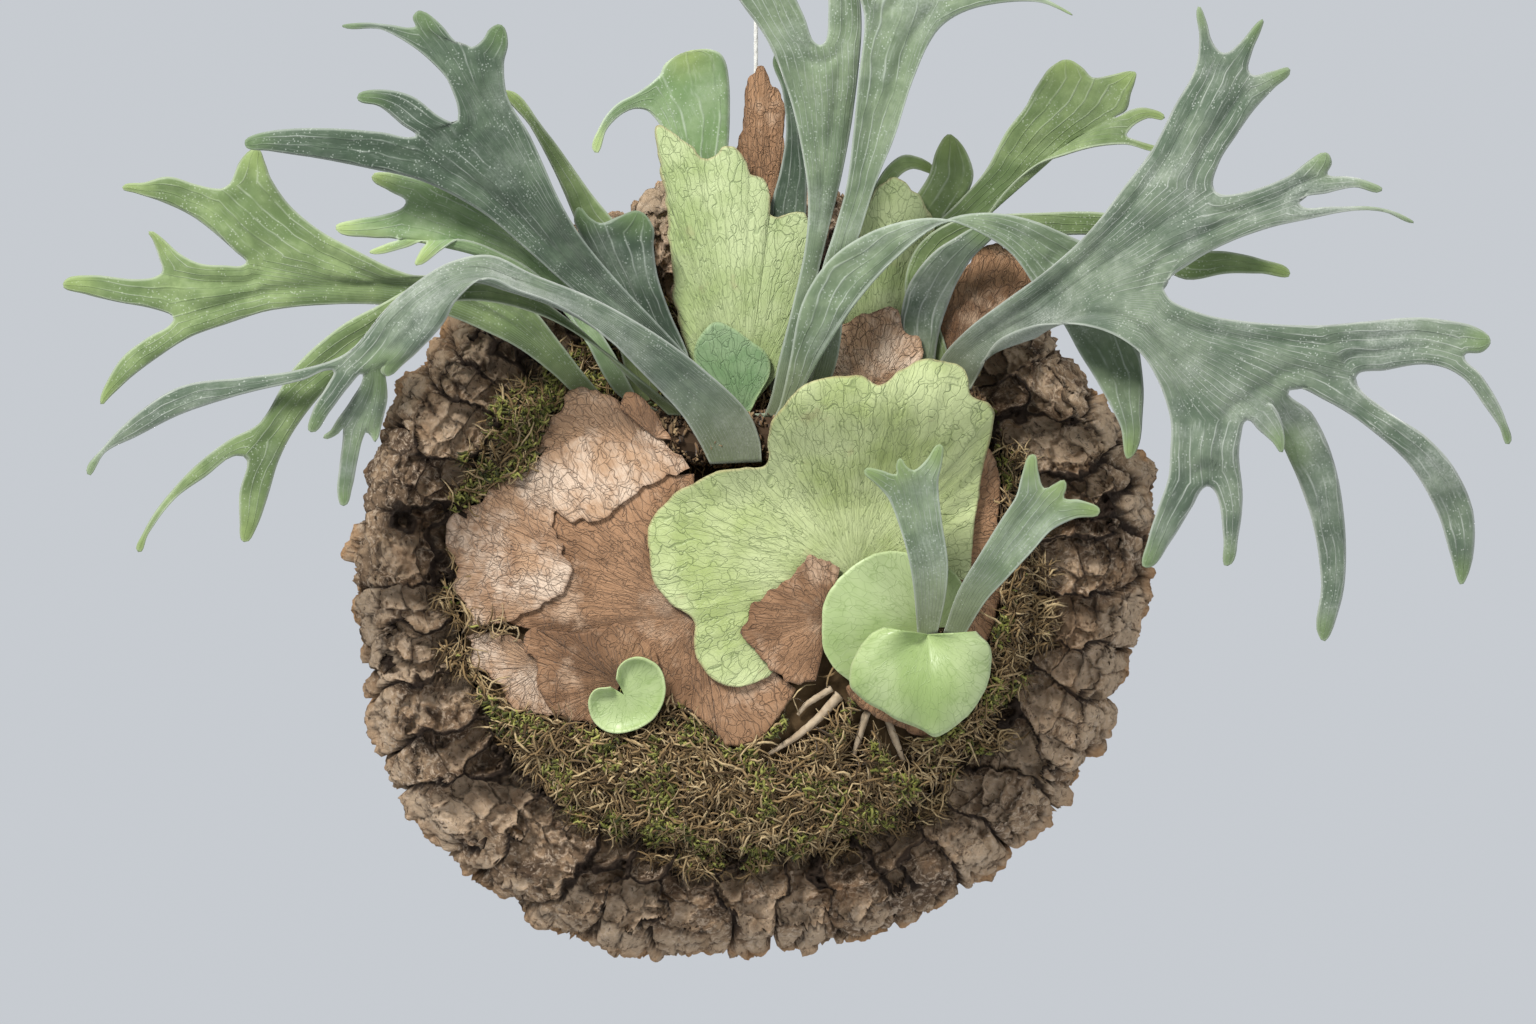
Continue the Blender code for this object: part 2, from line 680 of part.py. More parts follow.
def antler_big_right():
    upper = fork([(204, 212), (214, 232), (224, 250)], [(236, 204), (244, 217), (253, 230)], (126, 122),
                 [(238, 258), (251, 248)], [
        tip([(226, 266)], [(232, 264), (229, 274)], (225, 281), (120,)),
        tip([(246, 263)], [(252, 259), (256, 269)], (257, 275), (121,)),
        tip([(262, 249)], [(263, 241)], (271, 250), (124,))])
    middle = fork([(248, 189), (270, 197)], [(222, 154), (240, 164), (262, 172)], (134, 138),
                  [(290, 198), (276, 184)], [
        tip([(281, 205)], [(292, 204)], (289, 209), (140,)),
        tip([(300, 197), (309, 195)], [(290, 189), (304, 192)], (317, 190), (142,)),
        tip([(292, 182), (312, 182), (325, 179)], [(280, 176), (300, 180), (318, 180)], (333, 174),
            (140, 142))])
    right = fork([(310, 125), (335, 127), (354, 125)], [(320, 101), (338, 104), (350, 102)],
                 (136, 138, 140),
                 [(359, 108)], [
        tip([(365, 122)], [(368, 110)], (372, 116), (141,)),
        tip([(367, 99), (375, 87), (380, 76)], [(360, 96), (369, 84), (377, 73)], (382, 64), (142, 138))])
    long_droop = tip([(320, 81), (340, 68), (356, 50), (365, 26)], [(290, 86), (312, 72), (333, 53),
                                                                    (347, 29), (354, 7)],
                     (360, -6), (142, 140, 132, 124))
    dark_droop = tip([(283, 80), (293, 60), (299, 34), (301, 5), (298, -18)],
                     [(268, 66), (277, 46), (285, 22), (289, -6)], (289, -34), (126, 120, 112, 106))
    short = tip([(268, 76)], [(257, 71), (264, 65)], (269, 60), (144,))
    pair = fork([(248, 68)], [(213, 60)], (146, 144), [(231, 43)], [
        tip([(249, 38), (247, 18)], [(237, 37), (240, 16)], (242, 3), (140, 132)),
        tip([(224, 33), (213, 15)], [(207, 32), (202, 16)], (201, 2), (140, 134))])
    pair["a"].append((247, 58))
    pair["b"].append((212, 47))
    blade = fork([(225, 130), (250, 125), (284, 123)], [(206, 97), (213, 76)], (143, 143),
                 [(305, 97), (272, 91), (262, 84), (251, 76)], [right, long_droop, dark_droop, short, pair])
    return fork([(98, 85), (97, 104), (110, 120), (128, 134), (150, 150), (171, 169), (190, 193)],
                [(113, 81), (116, 97), (125, 114), (137, 121), (150, 124), (175, 122), (195, 112)],
                (67, 82, 106, 124, 134, 140), [(234, 190), (209, 141)], [upper, middle, blade],
                tilt=(0.0, -8.0, -18.0, -18.0, -14.0), sag=((0.45, 8, -18, -10),))


def pup_antler_left():
    return fork([(87, -34), (85, -10), (82, 8), (77, 25), (72, 37)], [(97, -34), (101, -12), (102, 5),
                                                                      (99, 25), (97, 45)],
                (91, 99, 107, 110), [(76, 49), (85, 51)], [
        tip([(66, 44)], [(68, 51)], (60, 51), (113,)),
        tip([(76, 53)], [(81, 53)], (78, 57), (113,)),
        tip([(91, 56)], [(99, 56)], (98, 64), (111,))])


def pup_antler_right():
    return fork([(100, -34), (107, -10), (118, 9), (129, 27), (136, 38)],
                [(110, -34), (121, -15), (132, -3), (144, 10), (154, 21)], (90, 101, 110, 116),
                [(150, 42), (160, 37)], [
        tip([(139, 49)], [(147, 50)], (144, 59), (118,)),
        tip([(155, 44)], [(161, 42)], (160, 46), (119,)),
        tip([(168, 36)], [(166, 27)], (178, 30), (121,))])


# name, outline, material, columns for each lobe
FRONDS = (
    ("antler_upper_left", antler_upper_left, dark_green, 1),
    ("antler_left", antler_left, leaf_green, 1),
    ("antler_arching_left", antler_arching_left, felt_green, 1),
    ("antler_hanging_left", antler_hanging_left, leaf_green, 1),
    ("antler_pale_left", antler_pale_left, pale_green, 1),
    ("antler_behind_left", antler_behind_left, leaf_green, 2),
    ("antler_dark_wavy", antler_dark_wavy, dark_green, 1),
    ("antler_curled_tip", antler_curled_tip, pale_green, 1),
    ("antler_upright", antler_upright, felt_green, 1),
    ("antler_narrow_dark", antler_narrow_dark, dark_green, 2),
    ("antler_upright_right", antler_upright_right, felt_green, 1),
    ("antler_arching_right", antler_arching_right, felt_green, 2),
    ("antler_behind_right", antler_behind_right, leaf_green, 2),
    ("antler_small_grey", antler_small_grey, felt_green, 2),
    ("antler_back_right", antler_back_right, leaf_green, 1),
    ("antler_back_small", antler_back_small, leaf_green, 2),
    ("antler_back_curl", antler_back_curl, leaf_green, 2),
    ("antler_big_right", antler_big_right, felt_green, 1),
    ("pup_antler_left", pup_antler_left, felt_green, 1),
    ("pup_antler_right", pup_antler_right, felt_green, 1),
)


# ---------------------------------------------------------------- the shield fronds

def draped(layer, rise=0.0, low=40.0, high=100.0, lift=0.0):
    """A sheet lying on the mound at its layer, rising off it between two heights."""
    def depth(x, z, out):
        return dome(x, z) + 0.9 + LAYER_STEP * layer + rise * smooth(z, low, high) + lift * out ** 4
    return depth


def standing(base, top, bulge=0.0):
    """A sheet that stands up from the crown."""
    def depth(_x, _z, out):
        return base + (top - base) * out + bulge * 4.0 * out * (1.0 - out)
    return depth


# name, root, outline, depth, material, rows between the root and the rim
SHIELDS = (
    ("shield_green_main", (55, -2), [(12, -53), (0, -58), (-12, -56), (-21, -48), (-25, -37), (-26, -24),
                                     (-37, -16),
                                     (-45, -3), (-48, 14), (-45, 28), (-36, 38), (-26, 44), (-15, 50),
                                     (0, 52), (11, 53),
                                     (12, 64), (14, 76), (22, 86), (31, 94), (45, 98), (58, 98), (68, 93),
                                     (77, 101),
                                     (88, 105), (100, 105), (110, 101), (113, 88), (122, 84), (125, 78),
                                     (122, 62),
                                     (118, 42), (115, 20), (113, -4)], draped(1, 37.0, 30.0, 100.0),
                                     shield_green, 3),
    ("shield_brown_patch", (44, -22), [(48, 2), (40, 6), (33, 7), (24, -2), (10, -12), (3, -17), (2, -25),
                                       (-2, -29),
                                       (5, -38), (12, -47), (22, -56), (36, -55)], draped(2), paper_brown,
                                       2),
    ("shield_brown_smooth", (-22, -20), [(-25, 49), (-35, 49), (-45, 47), (-75, 40), (-99, 32), (-106, 6),
                                         (-119, -22), (-96, -32), (-72, -48),
                                         (-48, -64), (-30, -68), (-17, -79), (-9, -88), (4, -86),
                                         (15, -77), (26, -59)],
     draped(0.3), paper_brown, 5),
    ("shield_brown_round", (-62, -56), [(-45, -66), (-42, -54), (-45, -41), (-54, -31), (-66, -27),
                                        (-80, -31),
                                        (-94, -30), (-107, -28), (-110, -38), (-104, -47), (-103, -60),
                                        (-95, -70),
                                        (-84, -75), (-70, -76)], draped(1.2), paper_brown, 3),
    ("shield_brown_tatters", (-100, -48), [(-112, -34), (-125, -31), (-139, -32), (-135, -38), (-140, -44),
                                           (-130, -50), (-122, -60), (-117, -68), (-105, -71), (-92, -73)],
     draped(0.1), bleached_brown, 3),
    ("shield_brown_upper", (-44, 50), [(-104, 58), (-99, 74), (-90, 83), (-86, 91), (-72, 90), (-63, 84),
                                       (-53, 76),
                                       (-42, 68), (-34, 58)], draped(0, 13.0, 69.0, 90.0), bleached_brown,
                                       2),
    ("shield_brown_inner", (-44, 67), [(-62, 82), (-58, 90), (-50, 86), (-43, 77), (-36, 66)],
     draped(1, 14.0, 68.0, 90.0), paper_brown, 1),
    ("shield_brown_right", (98, 10), [(118, 66), (125, 58), (128, 44), (127, 22), (129, 2), (127, -20),
                                      (122, -36),
                                      (112, -44)], draped(0, 24.0, 30.0, 100.0), paper_brown, 3),
    ("shield_green_tall", (0, 77), [(-22, 92), (-33, 125), (-35, 146), (-38, 176), (-41, 200), (-43, 221),
                                    (-35, 219),
                                    (-28, 213), (-18, 206), (-10, 212), (-3, 211), (3, 199), (9, 196),
                                    (13, 188),
                                    (14, 178), (31, 178), (33, 150), (26, 110)], standing(60, 62, 4.0),
                                    shield_green, 3),
    ("shield_green_back_right", (64, 78), [(46, 108), (50, 130), (56, 160), (62, 186), (74, 196),
                                           (88, 186), (97, 165),
                                           (100, 140), (92, 112)], standing(58.5, 58.5, 0.0), shield_green,
                                           2),
    ("shield_grey_brown", (60, 77), [(28, 92), (34, 105), (42, 117), (50, 125), (62, 129), (76, 131),
                                     (79, 121),
                                     (88, 117), (89, 107)], standing(68, 68.3, 0.0), bleached_brown, 2),
    ("shield_brown_back_right", (100, 84), [(88, 118), (97, 135), (109, 151), (122, 164), (131, 161),
                                            (141, 156),
                                           (150, 150), (143, 139), (133, 124), (117, 102)],
                                           standing(61, 61.6, 0.5),
     paper_brown, 2),
    ("shield_dead_top", (5, 77), [(-6, 207), (0, 222), (1, 238), (4, 248), (9, 252), (13, 244), (19, 238),
                                  (20, 212),
                                   (17, 192)], standing(55, 48, 0.0), paper_brown, 3),
    ("shield_young_round", (-1, 72), [(-20, 92), (-25, 108), (-21, 119), (-14, 125), (-6, 122), (3, 116),
                                      (12, 108),
                                     (13, 99), (7, 88), (3, 80)], standing(67, 68.5, 0.0), pale_green, 2),
    ("sprout_heart", (-60, -62), [(-64, -54), (-63, -48), (-55, -43), (-46, -45), (-40, -53), (-40, -63),
                                  (-45, -73),
                                  (-54, -79), (-66, -81), (-75, -76), (-78, -67), (-75, -60), (-67, -58)],
     draped(2, 0.0, 40.0, 100.0, 5.0), pup_green, 2),
    ("pup_shield_back", (96, -28), [(54, -56), (43, -46), (39, -30), (42, -12), (53, 2), (68, 10), (84, 9),
                                    (98, 5),
                                    (108, -4), (113, -18), (112, -28)], draped(3), pup_green, 2),
    ("pup_shield_front", (92, -31.5), [(116, -30), (123, -38), (123, -51), (118, -65), (108, -76),
                                       (97, -83), (90, -80),
                                       (75, -73), (61, -65), (53, -57), (55, -44), (62, -33), (70, -28)],
     standing(92.9, 99, 10.0), pup_green, 2),
    ("pup_shield_brown", (80, -36), [(51, -58), (56, -66), (68, -74), (80, -79), (91, -84), (99, -80)],
     draped(2), paper_brown, 2),
)

SHIELDS_ON_RHIZOME = ("shield_green_tall", "shield_green_back_right", "shield_grey_brown",
                      "shield_brown_back_right", "shield_dead_top", "shield_young_round")
CRACKED_INNER = [(-27, 52), (-45, 45), (-62, 34), (-73, 26), (-86, 26), (-94, 29), (-92, 12), (-87, 0),
                 (-93, -12),
                 (-104, -19), (-117, -25)]
CRACKED_OUTER = [(-31, 58), (-47, 63), (-64, 66), (-85, 67), (-99, 60), (-109, 50), (-125, 43), (-134, 34),
                 (-147, 27),
                 (-149, 14), (-143, 2), (-145, -8), (-139, -16), (-138, -28)]


def sheet_mesh(name, inner, outer, depth, material, samples, rings):
    """A sheet ruled between an inner and an outer line, each point at depth(x, z, out)."""
    verts = []
    faces = []
    for k in range(samples + 1):
        u = k / samples
        a = along(inner, u) if len(inner) > 1 else inner[0]
        b = along(outer, u)
        for r in range(rings + 1):
            v = r / rings
            flat = a.lerp(b, v)
            verts.append(place(flat.x, flat.y, depth(flat.x, flat.y, v)))
    wide = rings + 1
    for k in range(samples):
        for r in range(rings):
            faces.append((k * wide + r, k * wide + r + 1, (k + 1) * wide + r + 1, (k + 1) * wide + r))
    return make_object(name, verts, faces, material)


def sheet_between(name, inner, outer, depth, material, samples, rings):
    """A thin shield frond ruled between two lines."""
    return thicken(sheet_mesh(name, inner, outer, depth, material, samples, rings), SHIELD_THICK)


def shields():
    made = []
    for name, root, outline, depth, material, rings in SHIELDS:
        outer = curve_through(outline, steps=3)
        samples = len(outline) - 1
        if name in SHIELDS_ON_RHIZOME:
            root = (root[0], top_of(RHIZOME, root[0], depth(root[0], root[1], 0.0)) - 0.3)
        made.append(sheet_between(name, [Vector(root)], outer, depth, material(), samples, rings))
    made.append(sheet_between("shield_brown_cracked", curve_through(CRACKED_INNER, steps=3),
                              curve_through(CRACKED_OUTER, steps=3), draped(1.45), bleached_brown(), 18, 3))
    return made


# ---------------------------------------------------------------- rhizomes, roots, hanging cord

ROOTS = (
    ("pup_root_1", [(48, -62, 78.6), (38, -73, 78.0), (26, -83, 76.6), (12, -92, 74.5)],
     (2.6, 2.2, 1.8, 0.9)),
    ("pup_root_2", [(62, -70, 75.9), (58, -82, 74.1), (55, -93, 71.1)], (2.0, 1.8, 1.0)),
    ("pup_root_3", [(72, -74, 73.6), (76, -85, 70.5), (80, -95, 65.8)], (1.8, 1.8, 1.0)),
    ("pup_root_4", [(44, -58.5, 79.4), (37, -63, 78.9), (31, -67, 78.3), (27, -72, 77.2)],
     (1.8, 1.6, 1.4, 0.8)),
)


def roots():
    for name, points, radii in ROOTS:
        tube(name, points, radii, root_tan(), 6)


def hanging():
    """The screw eye in the slab's top edge and the cord that it hangs by."""
    shank = tube("hanging_eye", [(CORD_X, SHANK_LOW_Z, CORD_DEPTH), (CORD_X, EYE_Z - 4.0, CORD_DEPTH)],
                 SHANK_RADIUS, steel(), 8)
    centre = place(CORD_X, EYE_Z, CORD_DEPTH)
    loop = ring_mesh("eye_ring_cutter", centre, 5.0, 1.2, steel())
    loop.hide_render = True
    loop.display_type = "WIRE"
    join = shank.modifiers.new("ring", "BOOLEAN")
    join.operation = "UNION"
    join.object = loop
    low = EYE_Z + 11.5
    knot = place(CORD_X, low, CORD_DEPTH)
    lower = ring_mesh("cord_lower_loop", place(CORD_X, EYE_Z + 6.0, CORD_DEPTH), 3.6, CORD_RADIUS,
                      cord_white(), True)
    tie(lower, "lower_knot_joined", knot)
    cord = bpy.data.curves.new("hanging_cord", "CURVE")
    cord.dimensions = "3D"
    cord.bevel_depth = CORD_RADIUS * MM
    cord.bevel_resolution = 2
    cord.use_fill_caps = True
    line = cord.splines.new("POLY")
    line.points.add(1)
    bottom, top = low + 3.0 + GAP, CORD_TOP_Z - GAP
    for point, z in zip(line.points, (bottom, top)):
        point.co = (*place(CORD_X, z, CORD_DEPTH), 1.0)
    obj = bpy.data.objects.new("hanging_cord", cord)
    bpy.context.scene.collection.objects.link(obj)
    cord.materials.append(cord_white())
    upper = ring_mesh("cord_top_loop", place(CORD_X, CORD_TOP_Z + 13.0, CORD_DEPTH), 8.0, CORD_RADIUS,
                      cord_white())
    tie(upper, "upper_knot_joined", place(CORD_X, CORD_TOP_Z + 3.0, CORD_DEPTH))


def tie(obj, name, centre):
    """Joins a round knot to a cord loop."""
    mesh = bpy.data.meshes.new(name)
    bm = bmesh.new()
    bmesh.ops.create_icosphere(bm, subdivisions=1, radius=3.2 * MM)
    bmesh.ops.translate(bm, verts=bm.verts, vec=centre)
    bm.to_mesh(mesh)
    bm.free()
    ball = bpy.data.objects.new(name, mesh)
    bpy.context.scene.collection.objects.link(ball)
    ball.hide_render = True
    ball.display_type = "WIRE"
    join = obj.modifiers.new("knot", "BOOLEAN")
    join.operation = "UNION"
    join.object = ball


def main():
    clear_scene()
    cork_bark_slab()
    moss_bed()
    moss_cushion("moss_left", [(-121, 46), (-113, 60), (-103, 80), (-93, 94), (-87, 99)],
                 [(-127, 46), (-120, 66), (-109, 84), (-97, 100), (-87, 108)], moss_green())
    moss_cushion("moss_lower", [(-68, -92), (-30, -99), (0, -101), (40, -103), (80, -104), (94, -92)],
                 [(-72, -96), (-50, -117), (10, -127), (66, -117), (98, -99)], moss_green())
    moss_cushion("moss_right", [(124, -64), (130, -40), (133, -10), (132, 20)],
                 [(129, -64), (135, -40), (138, -10), (136, 22)], moss_brown())
    shields()
    for name, outline, material, columns in FRONDS:
        stem = PUP_RHIZOME if name.startswith("pup_") else RHIZOME
        FrondMesh(name, seated(outline(), stem), columns, 26.0).build(material(), LEAF_THICK)
    for name, stem, sides in (("rhizome", RHIZOME, 16), ("pup_rhizome", PUP_RHIZOME, 12)):
        tube(name, [p[:3] for p in stem], [p[3] for p in stem], rhizome_brown(), sides)
    roots()
    hanging()


main()
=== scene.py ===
"""Looks for the mounted staghorn fern: fine leaf sheets, bark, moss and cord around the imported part.

Outlines are in millimetres on one upright layout plane, as (x, z), and each point is then
slid along its line to EYE until it stands its number of millimetres in front of the
board's flat back, the plane y = 0.
"""
import math
import random

import bpy
import numpy as np
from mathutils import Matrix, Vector, noise
from mathutils.kdtree import KDTree


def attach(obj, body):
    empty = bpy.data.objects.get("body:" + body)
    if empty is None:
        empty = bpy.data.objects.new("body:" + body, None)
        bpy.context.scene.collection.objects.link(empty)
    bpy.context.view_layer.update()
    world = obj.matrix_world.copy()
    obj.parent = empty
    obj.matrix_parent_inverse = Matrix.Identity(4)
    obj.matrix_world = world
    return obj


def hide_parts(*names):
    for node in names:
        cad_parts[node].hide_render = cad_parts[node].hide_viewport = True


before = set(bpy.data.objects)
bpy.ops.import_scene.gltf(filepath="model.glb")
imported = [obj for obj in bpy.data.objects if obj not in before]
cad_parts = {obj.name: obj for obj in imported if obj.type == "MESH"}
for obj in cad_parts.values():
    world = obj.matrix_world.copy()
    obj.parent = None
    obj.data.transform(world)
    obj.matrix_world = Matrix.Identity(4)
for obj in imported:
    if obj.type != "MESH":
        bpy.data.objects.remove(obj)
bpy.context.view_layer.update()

MM = 0.001
EYE = Vector((12.0, -2060.0, 170.0))
LAYOUT_DEPTH = 60.0
REACH = -EYE.y - LAYOUT_DEPTH

SLAB_RADIUS = 196.0
SLAB_DROP = 2.0
BED_HALF_WIDTH = 142.0
BED_HALF_HEIGHT = 136.0
LEAF_THICK = 0.9
SHIELD_THICK = 0.7
LAYER_STEP = 2.1
GAP = 0.35

# fine sheets: columns across each lobe of a frond, and millimetres from row to row
COLUMNS_PER_LOBE = 9
ROW_LENGTH = 2.0

# moss, scales and roots: how many strands, the points round and across the bed, and the bare
# strip kept along each root
BROWN_THREADS = 8500
GREEN_THREADS = 6000
RHIZOME_SCALES = 2600
PUP_SCALES = 260
BED_ACROSS = 260
BED_RINGS = 46
ROOT_CLEARANCE = 7.0
ROOT_KNOBS = 0.28

# screw eye and cord, in millimetres
CORD_RADIUS = 1.1
CORD_X = 6.0
CORD_DEPTH = 17.0
CORD_TOP_Z = 318.0
EYE_Z = 212.0
EYE_RING_RADIUS = 5.0
EYE_WIRE_RADIUS = 1.2
LOW_LOOP_RADIUS = 3.6
TOP_LOOP_RADIUS = 8.0
KNOT_HALF_HEIGHT = 3.0
PLY_TURNS_PER_MM = 0.16

# camera, in metres and in millimetres of film and lens
CAMERA_AIM = (0.012, -0.060, 0.030)
FILM_WIDTH = 36.0
LENS = 94.0
CLIP_NEAR = 0.05
CLIP_FAR = 60.0

# studio, in metres and watts: name, place, size, power and colour of each lamp
LAMPS = (
    ("key", (-1.3, -2.0, 2.1), 0.9, 122.0, (1.0, 0.985, 0.96)),
    ("fill", (2.2, -2.0, 0.6), 1.6, 22.0, (0.98, 0.99, 1.0)),
    ("back", (0.8, 2.4, 1.6), 1.5, 30.0, (1.0, 1.0, 1.0)),
)
BACKDROP_COLOUR = (0.60, 0.63, 0.67, 1.0)
BACKDROP = 0.95
AMBIENT = 0.55
FLOOR_Z = -2.5
FLOOR_RADIUS = 10.5
FLOOR_SIDES = 96


# ---------------------------------------------------------------- basic helpers


def place(x, z, depth):
    """The point drawn at (x, z), standing depth millimetres in front of the back."""
    t = (REACH - (depth - LAYOUT_DEPTH)) / REACH
    return Vector((EYE.x + (x - EYE.x) * t, -depth, EYE.z + (z - EYE.z) * t)) * MM


def smooth(value, low, high):
    t = min(1.0, max(0.0, (value - low) / (high - low)))
    return t * t * (3.0 - 2.0 * t)


def table(values, t):
    """The value at t in 0..1 along an evenly spaced list."""
    if len(values) == 1:
        return values[0]
    at = t * (len(values) - 1)
    low = min(int(at), len(values) - 2)
    return values[low] + (values[low + 1] - values[low]) * (at - low)


def curve_through(points, before=None, after=None, steps=5):
    """A Catmull-Rom curve through 2-D points, with the neighbours that set its end slopes."""
    pts = [Vector(p) for p in points]
    first = Vector(before) if before is not None else pts[0] * 2 - pts[1]
    last = Vector(after) if after is not None else pts[-1] * 2 - pts[-2]
    chain = [first] + pts + [last]
    out = [pts[0]]
    for k in range(1, len(chain) - 2):
        p0, p1, p2, p3 = chain[k - 1:k + 3]
        span = max((p2 - p1).length, 1e-6)
        m1 = (p2 - p0) / max((p2 - p0).length, 1e-6) * span
        m2 = (p3 - p1) / max((p3 - p1).length, 1e-6) * span
        for j in range(1, steps + 1):
            t = j / steps
            a = 2 * t ** 3 - 3 * t ** 2 + 1
            b = t ** 3 - 2 * t ** 2 + t
            c = -2 * t ** 3 + 3 * t ** 2
            d = t ** 3 - t ** 2
            out.append(p1 * a + m1 * b + p2 * c + m2 * d)
    return out


def length_of(line):
    return sum((b - a).length for a, b in zip(line, line[1:]))


def along(line, t):
    """The point a share t of the way along a polyline."""
    want = length_of(line) * t
    for a, b in zip(line, line[1:]):
        step = (b - a).length
        if want <= step and step > 0:
            return a + (b - a) * (want / step)
        want -= step
    return line[-1].copy()


def slab_edge(angle):
    """The slab's outline radius at an angle, in millimetres."""
    wave = 4.0 * math.sin(2 * angle + 0.6) + 3.0 * math.sin(3 * angle + 2.2)
    wave += 2.5 * math.sin(5 * angle + 0.4) + 1.8 * math.sin(9 * angle)
    return SLAB_RADIUS + wave


def dome(x, z):
    """Height of the moss and shield mound over the slab's front, in millimetres."""
    r = math.hypot((x - 5.0) / 150.0, (z + 5.0) / 142.0)
    return 46.0 + 34.0 * max(0.0, 1.0 - r ** 3) ** 0.8


def bed_height(x, z):
    low = 1.0 - smooth(z, 28.0, 56.0) * smooth(x, -120.0, -70.0)
    return 46.0 + (dome(x, z) - 46.6) * low + 3.6 * (smooth(z, 28.0, 56.0) - smooth(z, 88.0, 102.0))


# ---------------------------------------------------------------- fronds that fork

def tips_in(strip):
    return sum(tips_in(kid) for kid in strip["kids"]) if strip.get("kids") else 1


class FrondSheet:
    """A forked ribbon of fine rows. lane counts lobes across it and run is the way from its base."""

    def __init__(self, strip, columns, row_length):
        self.verts = []
        self.lanes = []
        self.runs = []
        self.faces = []
        self.columns = columns
        self.row_length = row_length
        a, b = strip["a"], strip["b"]
        count = tips_in(strip) * columns
        start = []
        for k in range(count + 1):
            s = k / count
            flat = Vector(a[0]).lerp(Vector(b[0]), s)
            depth = strip["f"][0] + table(strip.get("tilt", (0.0,)), 0.0) * (0.5 - s)
            start.append(self.add(flat, depth, k / columns, 0.0))
        self.grow(strip, start, a[0], b[0], a[1:], b[1:], None, None, 0.0, 0.0)

    def add(self, flat, depth, lane, run):
        self.verts.append((flat.x, flat.y, depth))
        self.lanes.append(lane)
        self.runs.append(run)
        return len(self.verts) - 1

    def grow(self, strip, start, a0, b0, a_rest, b_rest, a_before, b_before, lane0, run0):
        kids = strip.get("kids", ())
        first = [Vector(self.verts[i][:2]) for i in start]
        if kids:
            corners = [Vector(a_rest[-1])] + [Vector(c) for c in strip["crotch"]] + [Vector(b_rest[-1])]
            a_after, b_after = kids[0]["a"][0], kids[-1]["b"][0]
            a_line = curve_through([a0] + list(a_rest), a_before, a_after)
            b_line = curve_through([b0] + list(b_rest), b_before, b_after)
        else:
            tip_point = strip["tip"]
            a_line = curve_through([a0] + list(a_rest) + [tip_point], a_before, (b_rest or [b0])[-1])
            b_line = curve_through([b0] + list(b_rest) + [tip_point], b_before, (a_rest or [a0])[-1])
        mean_length = (length_of(a_line) + length_of(b_line)) / 2
        rows = max(3, round(mean_length / self.row_length))
        count = len(start) - 1
        ends = [Vector(tip_point)] * (count + 1) if not kids else self.fork_row(kids, corners)
        depths = [self.verts[i][2] for i in start]
        mean = sum(depths) / len(depths)
        path = [mean] + list(strip["f"][1:] if a_before is None else strip["f"])
        rows_made = [start]
        for r in range(1, rows + 1):
            t = r / rows
            pa, pb = along(a_line, t), along(b_line, t)
            row = []
            for k in range(count + 1):
                s = k / count
                flat = pa.lerp(pb, s)
                flat += (ends[k] - a_line[-1].lerp(b_line[-1], s)) * t * t
                flat += (first[k] - a_line[0].lerp(b_line[0], s)) * (1 - t) ** 2
                depth = table(path, t)
                if "tilt" in strip:
                    depth += table(strip["tilt"], t) * (0.5 - s)
                else:
                    depth += (depths[k] - mean) * (1 - t) ** 2
                bow = 4 * s * (1 - s) * (1 - t if kids else 1.0)
                for share, dx, dz, df in strip.get("sag", ()):
                    near = max(0.0, 1.0 - abs(t - share) / 0.45)
                    flat += Vector((dx, dz)) * near * bow
                    depth += df * near * bow
                row.append((flat, depth))
            run = run0 + mean_length * t
            if not kids and r == rows:
                point = self.add(Vector(tip_point), table(path, 1.0), lane0 + 0.5, run)
                ids = [point] * (count + 1)
            else:
                ids = [self.add(flat, depth, lane0 + k / self.columns, run) for k,
                    (flat, depth) in enumerate(row)]
            rows_made.append(ids)
        for lower, upper in zip(rows_made, rows_made[1:]):
            for k in range(count):
                face = [lower[k], lower[k + 1], upper[k + 1], upper[k]]
                face = [v for i, v in enumerate(face) if v != face[i - 1]]
                self.faces.append(tuple(face))
        if not kids:
            return
        at = 0
        last = rows_made[-1]
        for i, kid in enumerate(kids):
            wide = tips_in(kid) * self.columns
            a_prev = self.before(a_rest, a0) if i == 0 else self.first_point(kids[i - 1], "b")
            b_prev = self.before(b_rest, b0) if i == len(kids) - 1 else self.first_point(kids[i + 1], "a")
            self.grow(kid, last[at:at + wide + 1], corners[i], corners[i + 1], kid["a"], kid["b"], a_prev,
                b_prev, lane0 + at / self.columns, run0 + mean_length)
            at += wide

    @staticmethod
    def before(rest, first):
        return rest[-2] if len(rest) > 1 else first

    @staticmethod
    def first_point(kid, edge):
        return kid[edge][0] if kid[edge] else kid["tip"]

    def fork_row(self, kids, corners):
        row = []
        for i, kid in enumerate(kids):
            wide = tips_in(kid) * self.columns
            for k in range(wide):
                row.append(corners[i].lerp(corners[i + 1], k / wide))
        row.append(corners[-1])
        return row


# x, z, depth and radius along each rhizome
RHIZOME = ((-76, 82, 61, 3), (-66, 76.4, 61, 7.8), (-45, 70, 63, 10.5), (-15, 66, 65, 12), (20, 68, 64, 12),
           (55, 74, 61, 10.5), (88, 80, 61, 10.5), (113, 82, 62, 10), (120, 83, 62, 4))
PUP_RHIZOME = ((82, -36, 85.2, 2), (88, -36, 87.5, 4.5), (98, -36, 88.3, 5.5), (108, -36, 87.5, 4.5),
    (114, -36, 85.5, 2))


